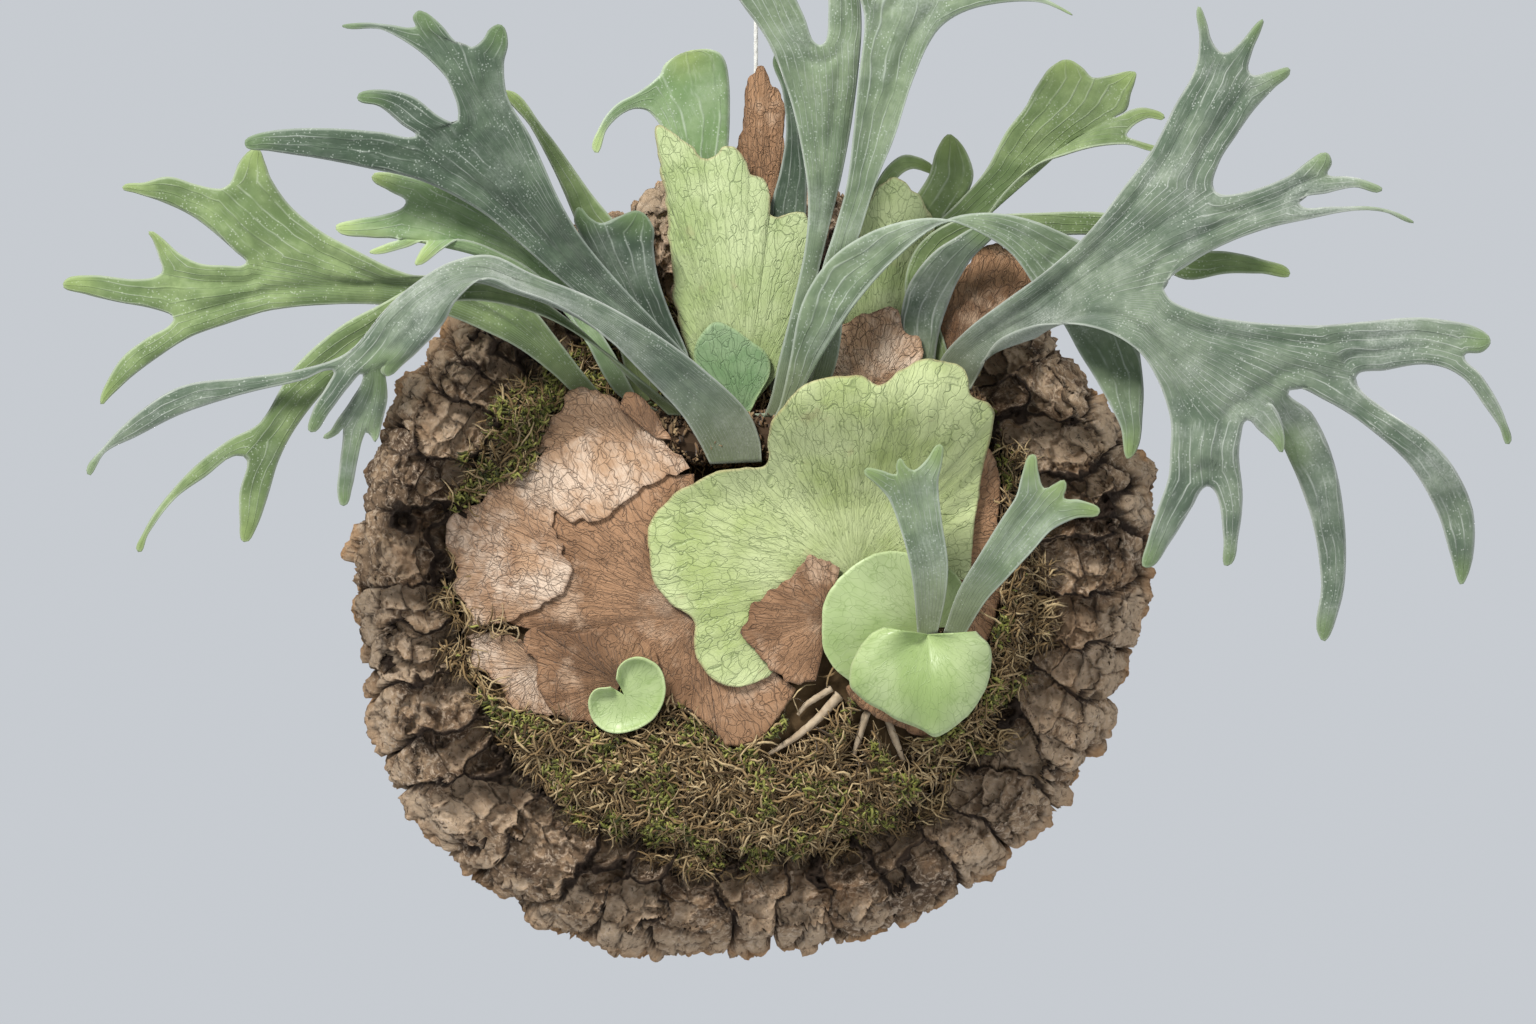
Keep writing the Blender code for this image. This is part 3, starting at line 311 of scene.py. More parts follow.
def top_of(stem, x, depth):
    """The height of a rhizome's upper surface over (x, depth), with the gap that a frond base keeps."""
    low, high = stem[0], stem[1]
    for low, high in zip(stem, stem[1:]):
        if x <= high[0]:
            break
    t = min(1.0, max(0.0, (x - low[0]) / (high[0] - low[0])))
    z, centre, radius = (low[i] + (high[i] - low[i]) * t for i in (1, 2, 3))
    aside = max(0.0, abs(depth - centre) - 0.8)
    return z + math.sqrt(max(0.0, radius * radius - aside * aside)) + GAP


def seated(strip, stem):
    """Moves a frond's base edge onto its rhizome, unless the frond is rooted on the rhizome's front."""
    if strip.get("on_front"):
        return strip
    for edge in (strip["a"], strip["b"]):
        x = edge[0][0]
        edge[0] = (x, top_of(stem, x, strip["f"][0]))
    return strip


def tip(a, b, end, f):
    """A single pointed lobe."""
    return {"a": a, "b": b, "tip": end, "f": f}


def fork(a, b, f, crotch, kids, **more):
    """A ribbon that splits: a and b are its edges, kids go from the a side to the b side."""
    return {"a": a, "b": b, "f": f, "crotch": crotch, "kids": kids, **more}


# ---------------------------------------------------------------- the antler fronds

def antler_upper_left():
    top = fork([(-146, 243)], [(-117, 236)], (119, 120), [(-163, 271), (-135, 261)], [
        tip([(-165, 262), (-180, 270)], [(-175, 272), (-188, 273)], (-199, 271), (122,)),
        tip([(-164, 276)], [(-143, 264), (-150, 272)], (-160, 279), (122,)),
        tip([(-129, 265), (-126, 270)], [(-117, 263)], (-120, 272), (119,))])
    top["a"].append((-153, 252))
    top["b"].append((-119, 253))
    return fork([(-27, 71), (-40, 98), (-60, 122), (-83, 139), (-107, 160), (-131, 180), (-160, 195)],
            [(-13, 70), (-22, 100), (-40, 121), (-60, 142), (-80, 166), (-92, 186), (-106, 217)],
            (69, 80, 90, 100, 110, 116), [(-163, 217), (-142, 225)], [
        tip([(-185, 201), (-210, 206), (-236, 210)], [(-180, 219), (-210, 221), (-238, 219)], (-248, 213),
            (119, 121)),
        tip([(-170, 223), (-181, 232)], [(-150, 226), (-165, 237), (-182, 240)], (-192, 236), (119,)), top])


def antler_left():
    lower = fork([(-258, 124), (-275, 118)], [(-259, 153), (-271, 154)], (100, 101), [(-284, 126),
            (-290, 149)], [
        tip([(-290, 109), (-305, 98), (-316, 88)], [(-297, 117), (-309, 108), (-317, 96)], (-321, 84),
            (102,)),
        tip([(-292, 131), (-312, 135), (-328, 139)], [(-303, 146), (-325, 148)], (-339, 144), (106,)),
        tip([(-291, 157), (-294, 166)], [(-281, 159), (-290, 167)], (-296, 170), (104,))])
    upper = fork([(-253, 160), (-263, 169)], [(-212, 171), (-226, 183), (-235, 196)], (99, 98),
            [(-260, 191)], [
        tip([(-275, 178), (-290, 185), (-302, 189)], [(-272, 193), (-286, 197), (-298, 194)], (-309, 192),
            (98,)),
        tip([(-255, 194), (-250, 205)], [(-238, 204)], (-242, 211), (97,))])
    return fork([(-74, 76), (-82, 87), (-95, 99), (-112, 112), (-130, 121), (-150, 129), (-173, 133),
        (-200, 134), (-235, 131)], [(-60, 72), (-66, 84), (-78, 97), (-92, 115), (-108, 134), (-130, 146),
        (-150, 148), (-168, 149), (-198, 163)], (63.3, 69, 77, 84, 90, 94, 98), [(-248, 154)],
        [lower, upper])


def antler_arching_left():
    hanging = fork([(-196, 86)], [(-178, 88)], (126, 122), [(-200, 72), (-189, 70)], [
        tip([(-206, 71)], [(-203, 69)], (-210, 67), (118,)),
        tip([(-202, 52), (-203, 40)], [(-193, 56), (-196, 42)], (-200, 33), (112,)),
        tip([(-186, 68)], [(-181, 74)], (-184, 65), (118,))])
    hanging["a"].append((-203, 76))
    hanging["b"].append((-180, 78))
    return fork([(9, 55), (8, 66), (2, 80), (-15, 97), (-41, 117), (-74, 136), (-106, 149), (-126, 158),
            (-145, 155), (-160, 147), (-176, 134), (-197, 110)], [(-17, 54), (-23, 66), (-32, 80),
            (-50, 99), (-74, 122), (-93, 134), (-112, 141), (-128, 147), (-143, 136), (-150, 124),
            (-163, 110)], (75.7, 83.4, 98, 111, 122, 130, 135, 135), [(-205, 101), (-190, 99), (-180, 103)],
            [
        tip([(-222, 101), (-250, 97), (-280, 93), (-303, 79), (-320, 62)], [(-220, 96), (-250, 89),
            (-281, 79), (-303, 68), (-319, 60)], (-328, 49), (133, 127, 120, 112)),
        tip([(-208, 93), (-215, 81)], [(-197, 93), (-207, 80)], (-216, 70), (134, 130)), hanging,
        tip([(-181, 100)], [(-170, 104)], (-177, 98), (131,))], tilt=(0.0, 0.0, -12.0, -16.0, 0.0),
            on_front=True)


def antler_hanging_left():
    return fork([(-38, 70), (-60, 100), (-85, 124), (-120, 146), (-155, 146), (-182, 133), (-202, 122),
            (-225, 101), (-241, 75)], [(-28, 66), (-44, 90), (-72, 112), (-100, 128), (-135, 136),
            (-160, 130), (-182, 112), (-204, 96), (-222, 75)], (70, 84, 100, 112, 119, 122, 122, 120),
            [(-250, 58)], [
        tip([(-257, 66), (-275, 52), (-292, 33), (-300, 20)], [(-270, 47), (-285, 36), (-298, 19)],
            (-303, 10), (114, 106)),
        tip([(-252, 40), (-252, 25)], [(-232, 57), (-238, 38), (-244, 22)], (-250, 15), (114, 108))])


def antler_pale_left():
    return fork([(-53, 69), (-66, 92), (-85, 127), (-102, 148), (-118, 158), (-140, 166)],
                [(-42, 67), (-52, 86), (-64, 108), (-78, 130), (-92, 152), (-106, 168), (-150, 192)],
                (66, 74, 82, 88, 93), [(-158, 165), (-172, 166), (-168, 184)], [
        tip([(-150, 161)], [(-161, 160)], (-163, 153), (97,)),
        tip([(-168, 162)], [(-177, 164)], (-186, 159), (92,)),
        tip([(-186, 167)], [(-180, 178), (-192, 176)], (-203, 171), (99,)),
        tip([(-176, 190)], [(-165, 197), (-176, 199)], (-185, 197), (94,))])


def antler_behind_left():
    return tip([(-56, 73), (-58, 96), (-66, 125), (-78, 160), (-92, 195), (-106, 222)], [(-44, 73),
        (-42, 96), (-48, 130), (-58, 165), (-76, 189), (-100, 222)], (-118, 240), (58, 62, 68, 74, 84))


def antler_dark_wavy():
    return fork([(-36, 72), (-50, 108), (-66, 140), (-76, 158), (-84, 174)], [(-24, 72), (-27, 106),
            (-37, 130), (-43, 148), (-45, 163)], (64, 68, 76, 84), [(-71, 174)], [
        tip([(-84, 179)], [(-77, 177)], (-82, 182), (86,)),
        tip([(-63, 177)], [(-45, 172)], (-52, 180), (86,))])


def antler_curled_tip():
    return fork([(-22, 77), (-24, 120), (-27, 160), (-31, 190), (-38, 215), (-47, 229)],
                [(-12, 77), (-10, 120), (-8, 158), (-9, 190), (-7, 225), (-8, 250)],
                (54, 53, 53, 54, 55, 58), [(-42, 247)], [
        tip([(-57, 230), (-68, 221)], [(-52, 239), (-63, 233), (-71, 223)], (-74, 209), (66, 78)),
        tip([(-39, 253)], [(-13, 259)], (-28, 259), (62,))])


def antler_upright():
    left = fork([(-2, 284), (-14, 302)], [(30, 276), (20, 300)], (101, 104), [(4, 311)], [
        tip([(-22, 314)], [(-6, 322), (-18, 328)], (-30, 330), (106,)),
        tip([(4, 324)], [(18, 316), (15, 328)], (10, 340), (104,))])
    right = fork([(42, 276), (41, 296)], [(58, 279), (56, 298)], (94, 92), [(48, 307)], [
        tip([(38, 312)], [(43, 318)], (37, 330), (92,)),
        tip([(52, 318)], [(59, 312)], (60, 326), (91,))])
    return fork([(4, 64), (10, 78), (18, 108), (26, 140), (31, 165), (32, 188), (29, 210), (23, 236),
        (12, 264)], [(13, 63), (20, 78), (29, 108), (36, 145), (43, 175), (49, 200), (54, 228), (58, 264)],
        (68, 78, 84, 86, 90, 96), [(38, 262)], [left, right])


def antler_narrow_dark():
    return tip([(13, 77), (12, 140), (13, 180), (18, 200), (21, 220), (19, 240)], [(23, 77), (28, 140),
        (31, 180), (31, 205), (28, 228), (22, 245)], (15, 257), (57, 56.5, 57, 63, 72))


def antler_upright_right():
    return fork([(27, 68), (36, 108), (38, 146), (45, 170), (51, 192), (54, 215), (57, 246), (60, 275)],
                [(38, 68), (47, 108), (51, 146), (58, 170), (66, 195), (75, 217), (84, 245), (95, 268)],
                (68, 80, 89, 95, 100, 104), [(66, 286), (98, 296)], [
        tip([(56, 290), (54, 304)], [(64, 300)], (57, 318), (108,)),
        tip([(74, 305), (79, 325)], [(99, 312), (95, 330)], (87, 346), (104, 108)),
        tip([(116, 292), (137, 290)], [(108, 278), (128, 283), (148, 283)], (163, 277), (108, 114))])


def antler_arching_right():
    far = tip([(185, 146), (193, 128), (198, 104), (199, 82)], [(158, 126), (167, 110), (177, 94),
        (188, 73)], (193, 57), (103, 107, 105))
    return fork([(21, 72), (28, 92), (40, 114), (56, 136), (76, 158), (97, 174), (117, 179), (141, 176),
            (170, 164)], [(15, 66), (18, 84), (23, 106), (29, 134), (42, 155), (60, 168), (80, 175),
            (99, 176), (118, 169), (134, 158), (148, 138)], (72.3, 84, 92, 96, 98, 99, 100), [(160, 150)], [
        tip([(180, 160), (186, 154)], [(172, 152)], (192, 148), (100,)), far], sag=((0.25, 5, -5, 0),
            (0.5, 6, -8, -2)))


def antler_behind_right():
    return tip([(97, 86), (88, 112), (80, 140), (86, 162), (104, 175), (124, 178), (142, 179), (181, 179),
        (207, 170), (224, 161), (240, 160), (258, 156)], [(106, 86), (101, 112), (94, 136), (97, 154),
        (112, 165), (130, 168), (150, 168), (181, 167), (205, 154), (220, 146), (240, 149), (258, 149)],
        (272, 149), (63.5, 63.5, 66, 74, 82, 88, 92, 94))


def antler_small_grey():
    return tip([(83, 82), (78, 114), (80, 138), (89, 154), (102, 165)], [(94, 82), (97, 118), (105, 142),
        (113, 156)], (124, 172), (66, 66, 67, 78, 84))


def antler_back_right():
    upper = fork([(146, 243)], [(184, 236)], (66, 66), [(173, 246)], [
        tip([(152, 251)], [(168, 251)], (160, 255), (66,)),
        tip([(181, 247)], [(194, 244)], (194, 249), (64,))])
    upper["a"] = [(143, 238), (148, 246)]
    upper["b"] = [(190, 230), (192, 238)]
    lower = fork([(192, 230)], [(175, 212)], (72, 74), [(190, 218)], [
        tip([(200, 231)], [(200, 226)], (209, 226), (76,)),
        tip([(195, 215)], [(190, 213)], (207, 210), (76,))])
    return fork([(86, 83), (80, 120), (82, 150), (92, 170), (106, 184), (120, 200), (130, 219), (140, 232)],
        [(95, 83), (96, 116), (98, 140), (106, 158), (118, 174), (130, 190), (144, 202), (160, 208)],
        (56, 56, 55.5, 55.5, 59, 66), [(184, 226)], [upper, lower])


def antler_back_small():
    return tip([(70, 79), (64, 116), (66, 150), (74, 172), (85, 187), (92, 198), (96, 211)], [(79, 79),
        (84, 116), (90, 146), (100, 168), (110, 186), (114, 200)], (103, 218), (54.2, 53.6, 53.6, 54, 58))


def antler_back_curl():
    return tip([(49, 75), (51, 120), (56, 164), (64, 190), (72, 203), (82, 208)], [(56, 75), (60, 120),
        (66, 164), (71, 186), (77, 197), (84, 201)], (96, 199), (52, 51.4, 51.2, 51, 50))


def antler_big_right():
    upper = fork([(204, 212), (214, 232), (224, 250)], [(236, 204), (244, 217), (253, 230)], (126, 122),
                 [(238, 258), (251, 248)], [
        tip([(226, 266)], [(232, 264), (229, 274)], (225, 281), (120,)),
        tip([(246, 263)], [(252, 259), (256, 269)], (257, 275), (121,)),
        tip([(262, 249)], [(263, 241)], (271, 250), (124,))])
    middle = fork([(248, 189), (270, 197)], [(222, 154), (240, 164), (262, 172)], (134, 138), [(290, 198),
            (276, 184)], [
        tip([(281, 205)], [(292, 204)], (289, 209), (140,)),
        tip([(300, 197), (309, 195)], [(290, 189), (304, 192)], (317, 190), (142,)),
        tip([(292, 182), (312, 182), (325, 179)], [(280, 176), (300, 180), (318, 180)], (333, 174),
            (140, 142))])
    right = fork([(310, 125), (335, 127), (354, 125)], [(320, 101), (338, 104), (350, 102)],
            (136, 138, 140), [(359, 108)], [
        tip([(365, 122)], [(368, 110)], (372, 116), (141,)),
        tip([(367, 99), (375, 87), (380, 76)], [(360, 96), (369, 84), (377, 73)], (382, 64), (142, 138))])
    long_droop = tip([(320, 81), (340, 68), (356, 50), (365, 26)], [(290, 86), (312, 72), (333, 53),
        (347, 29), (354, 7)], (360, -6), (142, 140, 132, 124))
    dark_droop = tip([(283, 80), (293, 60), (299, 34), (301, 5), (298, -18)],
                     [(268, 66), (277, 46), (285, 22), (289, -6)], (289, -34), (126, 120, 112, 106))
    short = tip([(268, 76)], [(257, 71), (264, 65)], (269, 60), (144,))
    pair = fork([(248, 68)], [(213, 60)], (146, 144), [(231, 43)], [
        tip([(249, 38), (247, 18)], [(237, 37), (240, 16)], (242, 3), (140, 132)),
        tip([(224, 33), (213, 15)], [(207, 32), (202, 16)], (201, 2), (140, 134))])
    pair["a"].append((247, 58))
    pair["b"].append((212, 47))
    blade = fork([(225, 130), (250, 125), (284, 123)], [(206, 97), (213, 76)], (143, 143),
                 [(305, 97), (272, 91), (262, 84), (251, 76)], [right, long_droop, dark_droop, short, pair])
    return fork([(98, 85), (97, 104), (110, 120), (128, 134), (150, 150), (171, 169), (190, 193)],
                [(113, 81), (116, 97), (125, 114), (137, 121), (150, 124), (175, 122), (195, 112)],
                (67, 82, 106, 124, 134, 140), [(234, 190), (209, 141)], [upper, middle, blade],
                tilt=(0.0, -8.0, -18.0, -18.0, -14.0), sag=((0.45, 8, -18, -10),))


def pup_antler_left():
    return fork([(87, -34), (85, -10), (82, 8), (77, 25), (72, 37)], [(97, -34), (101, -12), (102, 5),
            (99, 25), (97, 45)], (91, 99, 107, 110), [(76, 49), (85, 51)], [
        tip([(66, 44)], [(68, 51)], (60, 51), (113,)),
        tip([(76, 53)], [(81, 53)], (78, 57), (113,)),
        tip([(91, 56)], [(99, 56)], (98, 64), (111,))])


def pup_antler_right():
    return fork([(100, -34), (107, -10), (118, 9), (129, 27), (136, 38)], [(110, -34), (121, -15),
            (132, -3), (144, 10), (154, 21)], (90, 101, 110, 116), [(150, 42), (160, 37)], [
        tip([(139, 49)], [(147, 50)], (144, 59), (118,)),
        tip([(155, 44)], [(161, 42)], (160, 46), (119,)),
        tip([(168, 36)], [(166, 27)], (178, 30), (121,))])


def draped(layer, rise=0.0, low=40.0, high=100.0, lift=0.0):
    """A sheet lying on the mound at its layer, rising off it between two heights."""
    def depth(x, z, out):
        return dome(x, z) + 0.9 + LAYER_STEP * layer + rise * smooth(z, low, high) + lift * out ** 4
    return depth


def standing(base, top, bulge=0.0):
    """A sheet that stands up from the crown."""
    def depth(_x, _z, out):
        return base + (top - base) * out + bulge * 4.0 * out * (1.0 - out)
    return depth


# name, root, outline, depth, look, torn edge (amount, size), wave, curl
SHIELDS = (
    ("shield_green_main", (55, -2), [(12, -53), (0, -58), (-12, -56), (-21, -48), (-25, -37), (-26, -24),
        (-37, -16), (-45, -3), (-48, 14), (-45, 28), (-36, 38), (-26, 44), (-15, 50), (0, 52), (11, 53),
        (12, 64), (14, 76), (22, 86), (31, 94), (45, 98), (58, 98), (68, 93), (77, 101), (88, 105),
        (100, 105), (110, 101), (113, 88), (122, 84), (125, 78), (122, 62), (118, 42), (115, 20),
        (113, -4)], draped(1, 37.0, 30.0, 100.0), "shield_green", (1.2, 14.0), 1.6, 2.0),
    ("shield_brown_patch", (44, -22), [(48, 2), (40, 6), (33, 7), (24, -2), (10, -12), (3, -17), (2, -25),
        (-2, -29), (5, -38), (12, -47), (22, -56), (36, -55)], draped(2), "paper_brown", (2.2, 5.0), 0.6,
        0.8),
    ("shield_brown_smooth", (-22, -20), [(-25, 49), (-35, 49), (-45, 47), (-75, 40), (-99, 32), (-106, 6),
        (-119, -22), (-96, -32), (-72, -48), (-48, -64), (-30, -68), (-17, -79), (-9, -88), (4, -86),
        (15, -77), (26, -59)], draped(0.3), "paper_brown", (2.0, 9.0), 0.5, 0.8),
    ("shield_brown_round", (-62, -56), [(-45, -66), (-42, -54), (-45, -41), (-54, -31), (-66, -27),
        (-80, -31), (-94, -30), (-107, -28), (-110, -38), (-104, -47), (-103, -60), (-95, -70), (-84, -75),
        (-70, -76)], draped(1.2), "paper_brown", (1.8, 8.0), 0.8, 2.5),
    ("shield_brown_tatters", (-100, -48), [(-112, -34), (-125, -31), (-139, -32), (-135, -38), (-140, -44),
        (-130, -50), (-122, -60), (-117, -68), (-105, -71), (-92, -73)], draped(0.1), "bleached_brown",
        (3.0, 5.0), 1.0, 3.0),
    ("shield_brown_upper", (-44, 50), [(-104, 58), (-99, 74), (-90, 83), (-86, 91), (-72, 90), (-63, 84),
        (-53, 76), (-42, 68), (-34, 58)], draped(0, 13.0, 69.0, 90.0), "bleached_brown", (2.0, 6.0), 0.8,
        1.5),
    ("shield_brown_inner", (-44, 67), [(-62, 82), (-58, 90), (-50, 86), (-43, 77), (-36, 66)],
        draped(1, 14.0, 68.0, 90.0), "paper_brown", (1.2, 6.0), 0.6, 1.0),
    ("shield_brown_right", (98, 10), [(118, 66), (125, 58), (128, 44), (127, 22), (129, 2), (127, -20),
        (122, -36), (112, -44)], draped(0, 24.0, 30.0, 100.0), "paper_brown", (2.0, 8.0), 0.8, 2.0),
    ("shield_green_tall", (0, 77), [(-22, 92), (-33, 125), (-35, 146), (-38, 176), (-41, 200), (-43, 221),
        (-35, 219), (-28, 213), (-18, 206), (-10, 212), (-3, 211), (3, 199), (9, 196), (13, 188), (14, 178),
        (31, 178), (33, 150), (26, 110)], standing(60, 62, 4.0), "shield_tall", (1.6, 9.0), 0.5, 1.0),
    ("shield_green_back_right", (64, 78), [(46, 108), (50, 130), (56, 160), (62, 186), (74, 196), (88, 186),
        (97, 165), (100, 140), (92, 112)], standing(58.5, 58.5, 0.0), "shield_tall", (1.6, 8.0), 0.4, 0.6),
    ("shield_grey_brown", (60, 77), [(28, 92), (34, 105), (42, 117), (50, 125), (62, 129), (76, 131),
        (79, 121), (88, 117), (89, 107)], standing(68, 68.3, 0.0), "bleached_brown", (1.5, 8.0), 0.4, 0.6),
    ("shield_brown_back_right", (100, 84), [(88, 118), (97, 135), (109, 151), (122, 164), (131, 161),
        (141, 156), (150, 150), (143, 139), (133, 124), (117, 102)], standing(61, 61.6, 0.5), "paper_brown",
        (2.0, 8.0), 0.4, 1.0),
    ("shield_dead_top", (5, 77), [(-6, 207), (0, 222), (1, 238), (4, 248), (9, 252), (13, 244), (19, 238),
        (20, 212), (17, 192)], standing(55, 48, 0.0), "paper_brown", (2.0, 7.0), 0.5, 0.6),
    ("shield_young_round", (-1, 72), [(-20, 92), (-25, 108), (-21, 119), (-14, 125), (-6, 122), (3, 116),
        (12, 108), (13, 99), (7, 88), (3, 80)], standing(67, 68.5, 0.0), "shield_bluish", (0.5, 12.0), 0.3,
        0.4),
    ("sprout_heart", (-60, -62), [(-64, -54), (-63, -48), (-55, -43), (-46, -45), (-40, -53), (-40, -63),
        (-45, -73), (-54, -79), (-66, -81), (-75, -76), (-78, -67), (-75, -60), (-67, -58)],
        draped(2, 0.0, 40.0, 100.0, 5.0), "pup_green", (0.5, 12.0), 0.4, 1.5),
    ("pup_shield_back", (96, -28), [(54, -56), (43, -46), (39, -30), (42, -12), (53, 2), (68, 10), (84, 9),
        (98, 5), (108, -4), (113, -18), (112, -28)], draped(3), "pup_green", (0.8, 12.0), 0.6, 1.5),
    ("pup_shield_front", (92, -31.5), [(116, -30), (123, -38), (123, -51), (118, -65), (108, -76),
        (97, -83), (90, -80), (75, -73), (61, -65), (53, -57), (55, -44), (62, -33), (70, -28)],
        standing(92.9, 99, 10.0), "pup_green", (0.6, 12.0), 0.6, 1.5),
    ("pup_shield_brown", (80, -36), [(51, -58), (56, -66), (68, -74), (80, -79), (91, -84), (99, -80)],
        draped(2), "paper_brown", (1.5, 5.0), 0.5, 1.0),
)

SHIELDS_ON_RHIZOME = ("shield_green_tall", "shield_green_back_right", "shield_grey_brown",
                      "shield_brown_back_right", "shield_dead_top", "shield_young_round")
CRACKED_INNER = [(-27, 52), (-45, 45), (-62, 34), (-73, 26), (-86, 26), (-94, 29), (-92, 12), (-87, 0),
    (-93, -12), (-104, -19), (-117, -25)]
CRACKED_OUTER = [(-31, 58), (-47, 63), (-64, 66), (-85, 67), (-99, 60), (-109, 50), (-125, 43), (-134, 34),
    (-147, 27), (-149, 14), (-143, 2), (-145, -8), (-139, -16), (-138, -28)]


ROOTS = (
    ("pup_root_1", [(48, -62, 78.6), (38, -73, 78.0), (26, -83, 76.6), (12, -92, 74.5)],
        (2.6, 2.2, 1.8, 0.9)),
    ("pup_root_2", [(62, -70, 75.9), (58, -82, 74.1), (55, -93, 71.1)], (2.0, 1.8, 1.0)),
    ("pup_root_3", [(72, -74, 73.6), (76, -85, 70.5), (80, -95, 65.8)], (1.8, 1.8, 1.0)),
    ("pup_root_4", [(44, -58.5, 79.4), (37, -63, 78.9), (31, -67, 78.3), (27, -72, 77.2)],
        (1.8, 1.6, 1.4, 0.8)),
)


# ---------------------------------------------------------------- noise and numbers

def hashed(values, seed):
    """Numbers in 0..1, one for each whole number, always the same for a seed."""
    mixed = np.sin(np.asarray(values, float) * 12.9898 + seed * 78.233) * 43758.5453
    return mixed - np.floor(mixed)


def step(value, low, high):
    t = np.clip((value - low) / (high - low), 0.0, 1.0)
    return t * t * (3.0 - 2.0 * t)


def value_noise(points, scale, seed, octaves=3):
    """Smooth noise in about -1..1 at each row of points, in millimetres; scale is the feature size."""
    shift = Vector((seed * 13.7, seed * 7.3, seed * 3.1))
    out = np.empty(len(points))
    for i, p in enumerate(points):
        out[i] = noise.fractal(Vector(p) / scale + shift, 1.0, 2.1, octaves)
    return out


def worley(a, b, columns, seed):
    """Distances to the nearest and second cell points and the nearest cell's number, periodic along a."""
    best = np.full(a.shape, 9.0)
    second = np.full(a.shape, 9.0)
    cell = np.zeros(a.shape)
    whole_a, whole_b = np.floor(a), np.floor(b)
    for da in (-1, 0, 1):
        for db in (-1, 0, 1):
            ca = np.mod(whole_a + da, columns)
            cb = whole_b + db
            number = ca * 131.0 + cb * 7.0
            pa = whole_a + da + 0.15 + 0.7 * hashed(number, seed)
            pb = cb + 0.15 + 0.7 * hashed(number, seed + 1)
            d = np.hypot(a - pa, b - pb)
            closer = d < best
            second = np.where(closer, best, np.minimum(second, d))
            cell = np.where(closer, number, cell)
            best = np.where(closer, d, best)
    return best, second, cell


# ---------------------------------------------------------------- making objects

def place_all(points):
    """place() for rows of (x, z, depth)."""
    points = np.asarray(points, float)
    t = (REACH - (points[:, 2] - LAYOUT_DEPTH)) / REACH
    x = EYE.x + (points[:, 0] - EYE.x) * t
    z = EYE.z + (points[:, 1] - EYE.z) * t
    return np.stack([x, -points[:, 2], z], axis=1) * MM


def linked(name, data):
    """A new object in the scene."""
    made = bpy.data.objects.new(name, data)
    bpy.context.scene.collection.objects.link(made)
    return made


def add_piece(name, verts, faces, look, nodes=()):
    """A smooth mesh on the root body, with its look's material, in place of the CAD's nodes."""
    mesh = bpy.data.meshes.new(name)
    mesh.from_pydata([tuple(v) for v in np.asarray(verts).tolist()], [], faces)
    mesh.validate()
    mesh.update()
    mesh.polygons.foreach_set("use_smooth", [True] * len(mesh.polygons))
    obj = linked(name, mesh)
    mesh.materials.append(material(look))
    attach(obj, "root")
    if nodes:
        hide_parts(*nodes)
    return obj


def tube_faces(rows, sides, base=0, caps=True):
    """Quads round a tube of rings, whose points start at number base, and its two ends."""
    faces = []
    for k in range(rows - 1):
        a, b = base + k * sides, base + (k + 1) * sides
        for j in range(sides):
            n = (j + 1) % sides
            faces.append((a + j, a + n, b + n, b + j))
    if caps:
        last = base + (rows - 1) * sides
        faces.append(tuple(range(base, base + sides))[::-1])
        faces.append(tuple(range(last, last + sides)))
    return faces


def ring_faces(around, sides):
    """Quads of a tube that closes on itself."""
    faces = []
    for k in range(around):
        for j in range(sides):
            n, m = (k + 1) % around, (j + 1) % sides
            faces.append((k * sides + j, n * sides + j, n * sides + m, k * sides + m))
    return faces


def unit(rows):
    return rows / np.maximum(np.linalg.norm(rows, axis=-1), 1e-12)[..., None]


def flat_distance(points, targets):
    """Distance of each point to the nearest target in the layout plane, in millimetres."""
    tree = KDTree(len(targets))
    for i, p in enumerate(targets):
        tree.insert((p[0], p[1], 0.0), i)
    tree.balance()
    return [tree.find((p[0], p[1], 0.0))[2] for p in points]


def set_values(obj, name, values):
    attribute = obj.data.attributes.new(name, "FLOAT", "POINT")
    attribute.data.foreach_set("value", np.asarray(values, np.float32))


def set_vectors(obj, name, values):
    attribute = obj.data.attributes.new(name, "FLOAT_VECTOR", "POINT")
    attribute.data.foreach_set("vector", np.asarray(values, np.float32).ravel())


def thicken(obj, thickness):
    modifier = obj.modifiers.new("thickness", "SOLIDIFY")
    modifier.thickness = thickness * MM
    modifier.offset = 0.0
    return obj


def edge_pairs(faces):
    """Every edge with how many faces it has."""
    seen = {}
    for face in faces:
        for i, v in enumerate(face):
            key = (v, face[i - 1]) if v < face[i - 1] else (face[i - 1], v)
            seen[key] = seen.get(key, 0) + 1
    return seen


def edge_distance(points, pairs):
    """Distance of each point to the sheet's rim, in millimetres."""
    rim = [key for key, count in pairs.items() if count == 1]
    tree = KDTree(len(rim) * 3)
    n = 0
    for a, b in rim:
        pa, pb = Vector(points[a]), Vector(points[b])
        for share in (0.0, 0.34, 0.67):
            tree.insert(pa.lerp(pb, share), n)
            n += 1
    tree.balance()
    return np.array([tree.find(Vector(p))[2] for p in points])


def relax(values, pairs, rounds):
    """Averages each value with its neighbours', which smooths kinks out of a sheet's depth."""
    ends = np.array(list(pairs.keys()))
    count = np.zeros(len(values))
    np.add.at(count, ends[:, 0], 1.0)
    np.add.at(count, ends[:, 1], 1.0)
    for _ in range(rounds):
        total = np.zeros(len(values))
        np.add.at(total, ends[:, 0], values[ends[:, 1]])
        np.add.at(total, ends[:, 1], values[ends[:, 0]])
        values = 0.5 * values + 0.5 * total / np.maximum(count, 1.0)
    return values


# ---------------------------------------------------------------- shader building

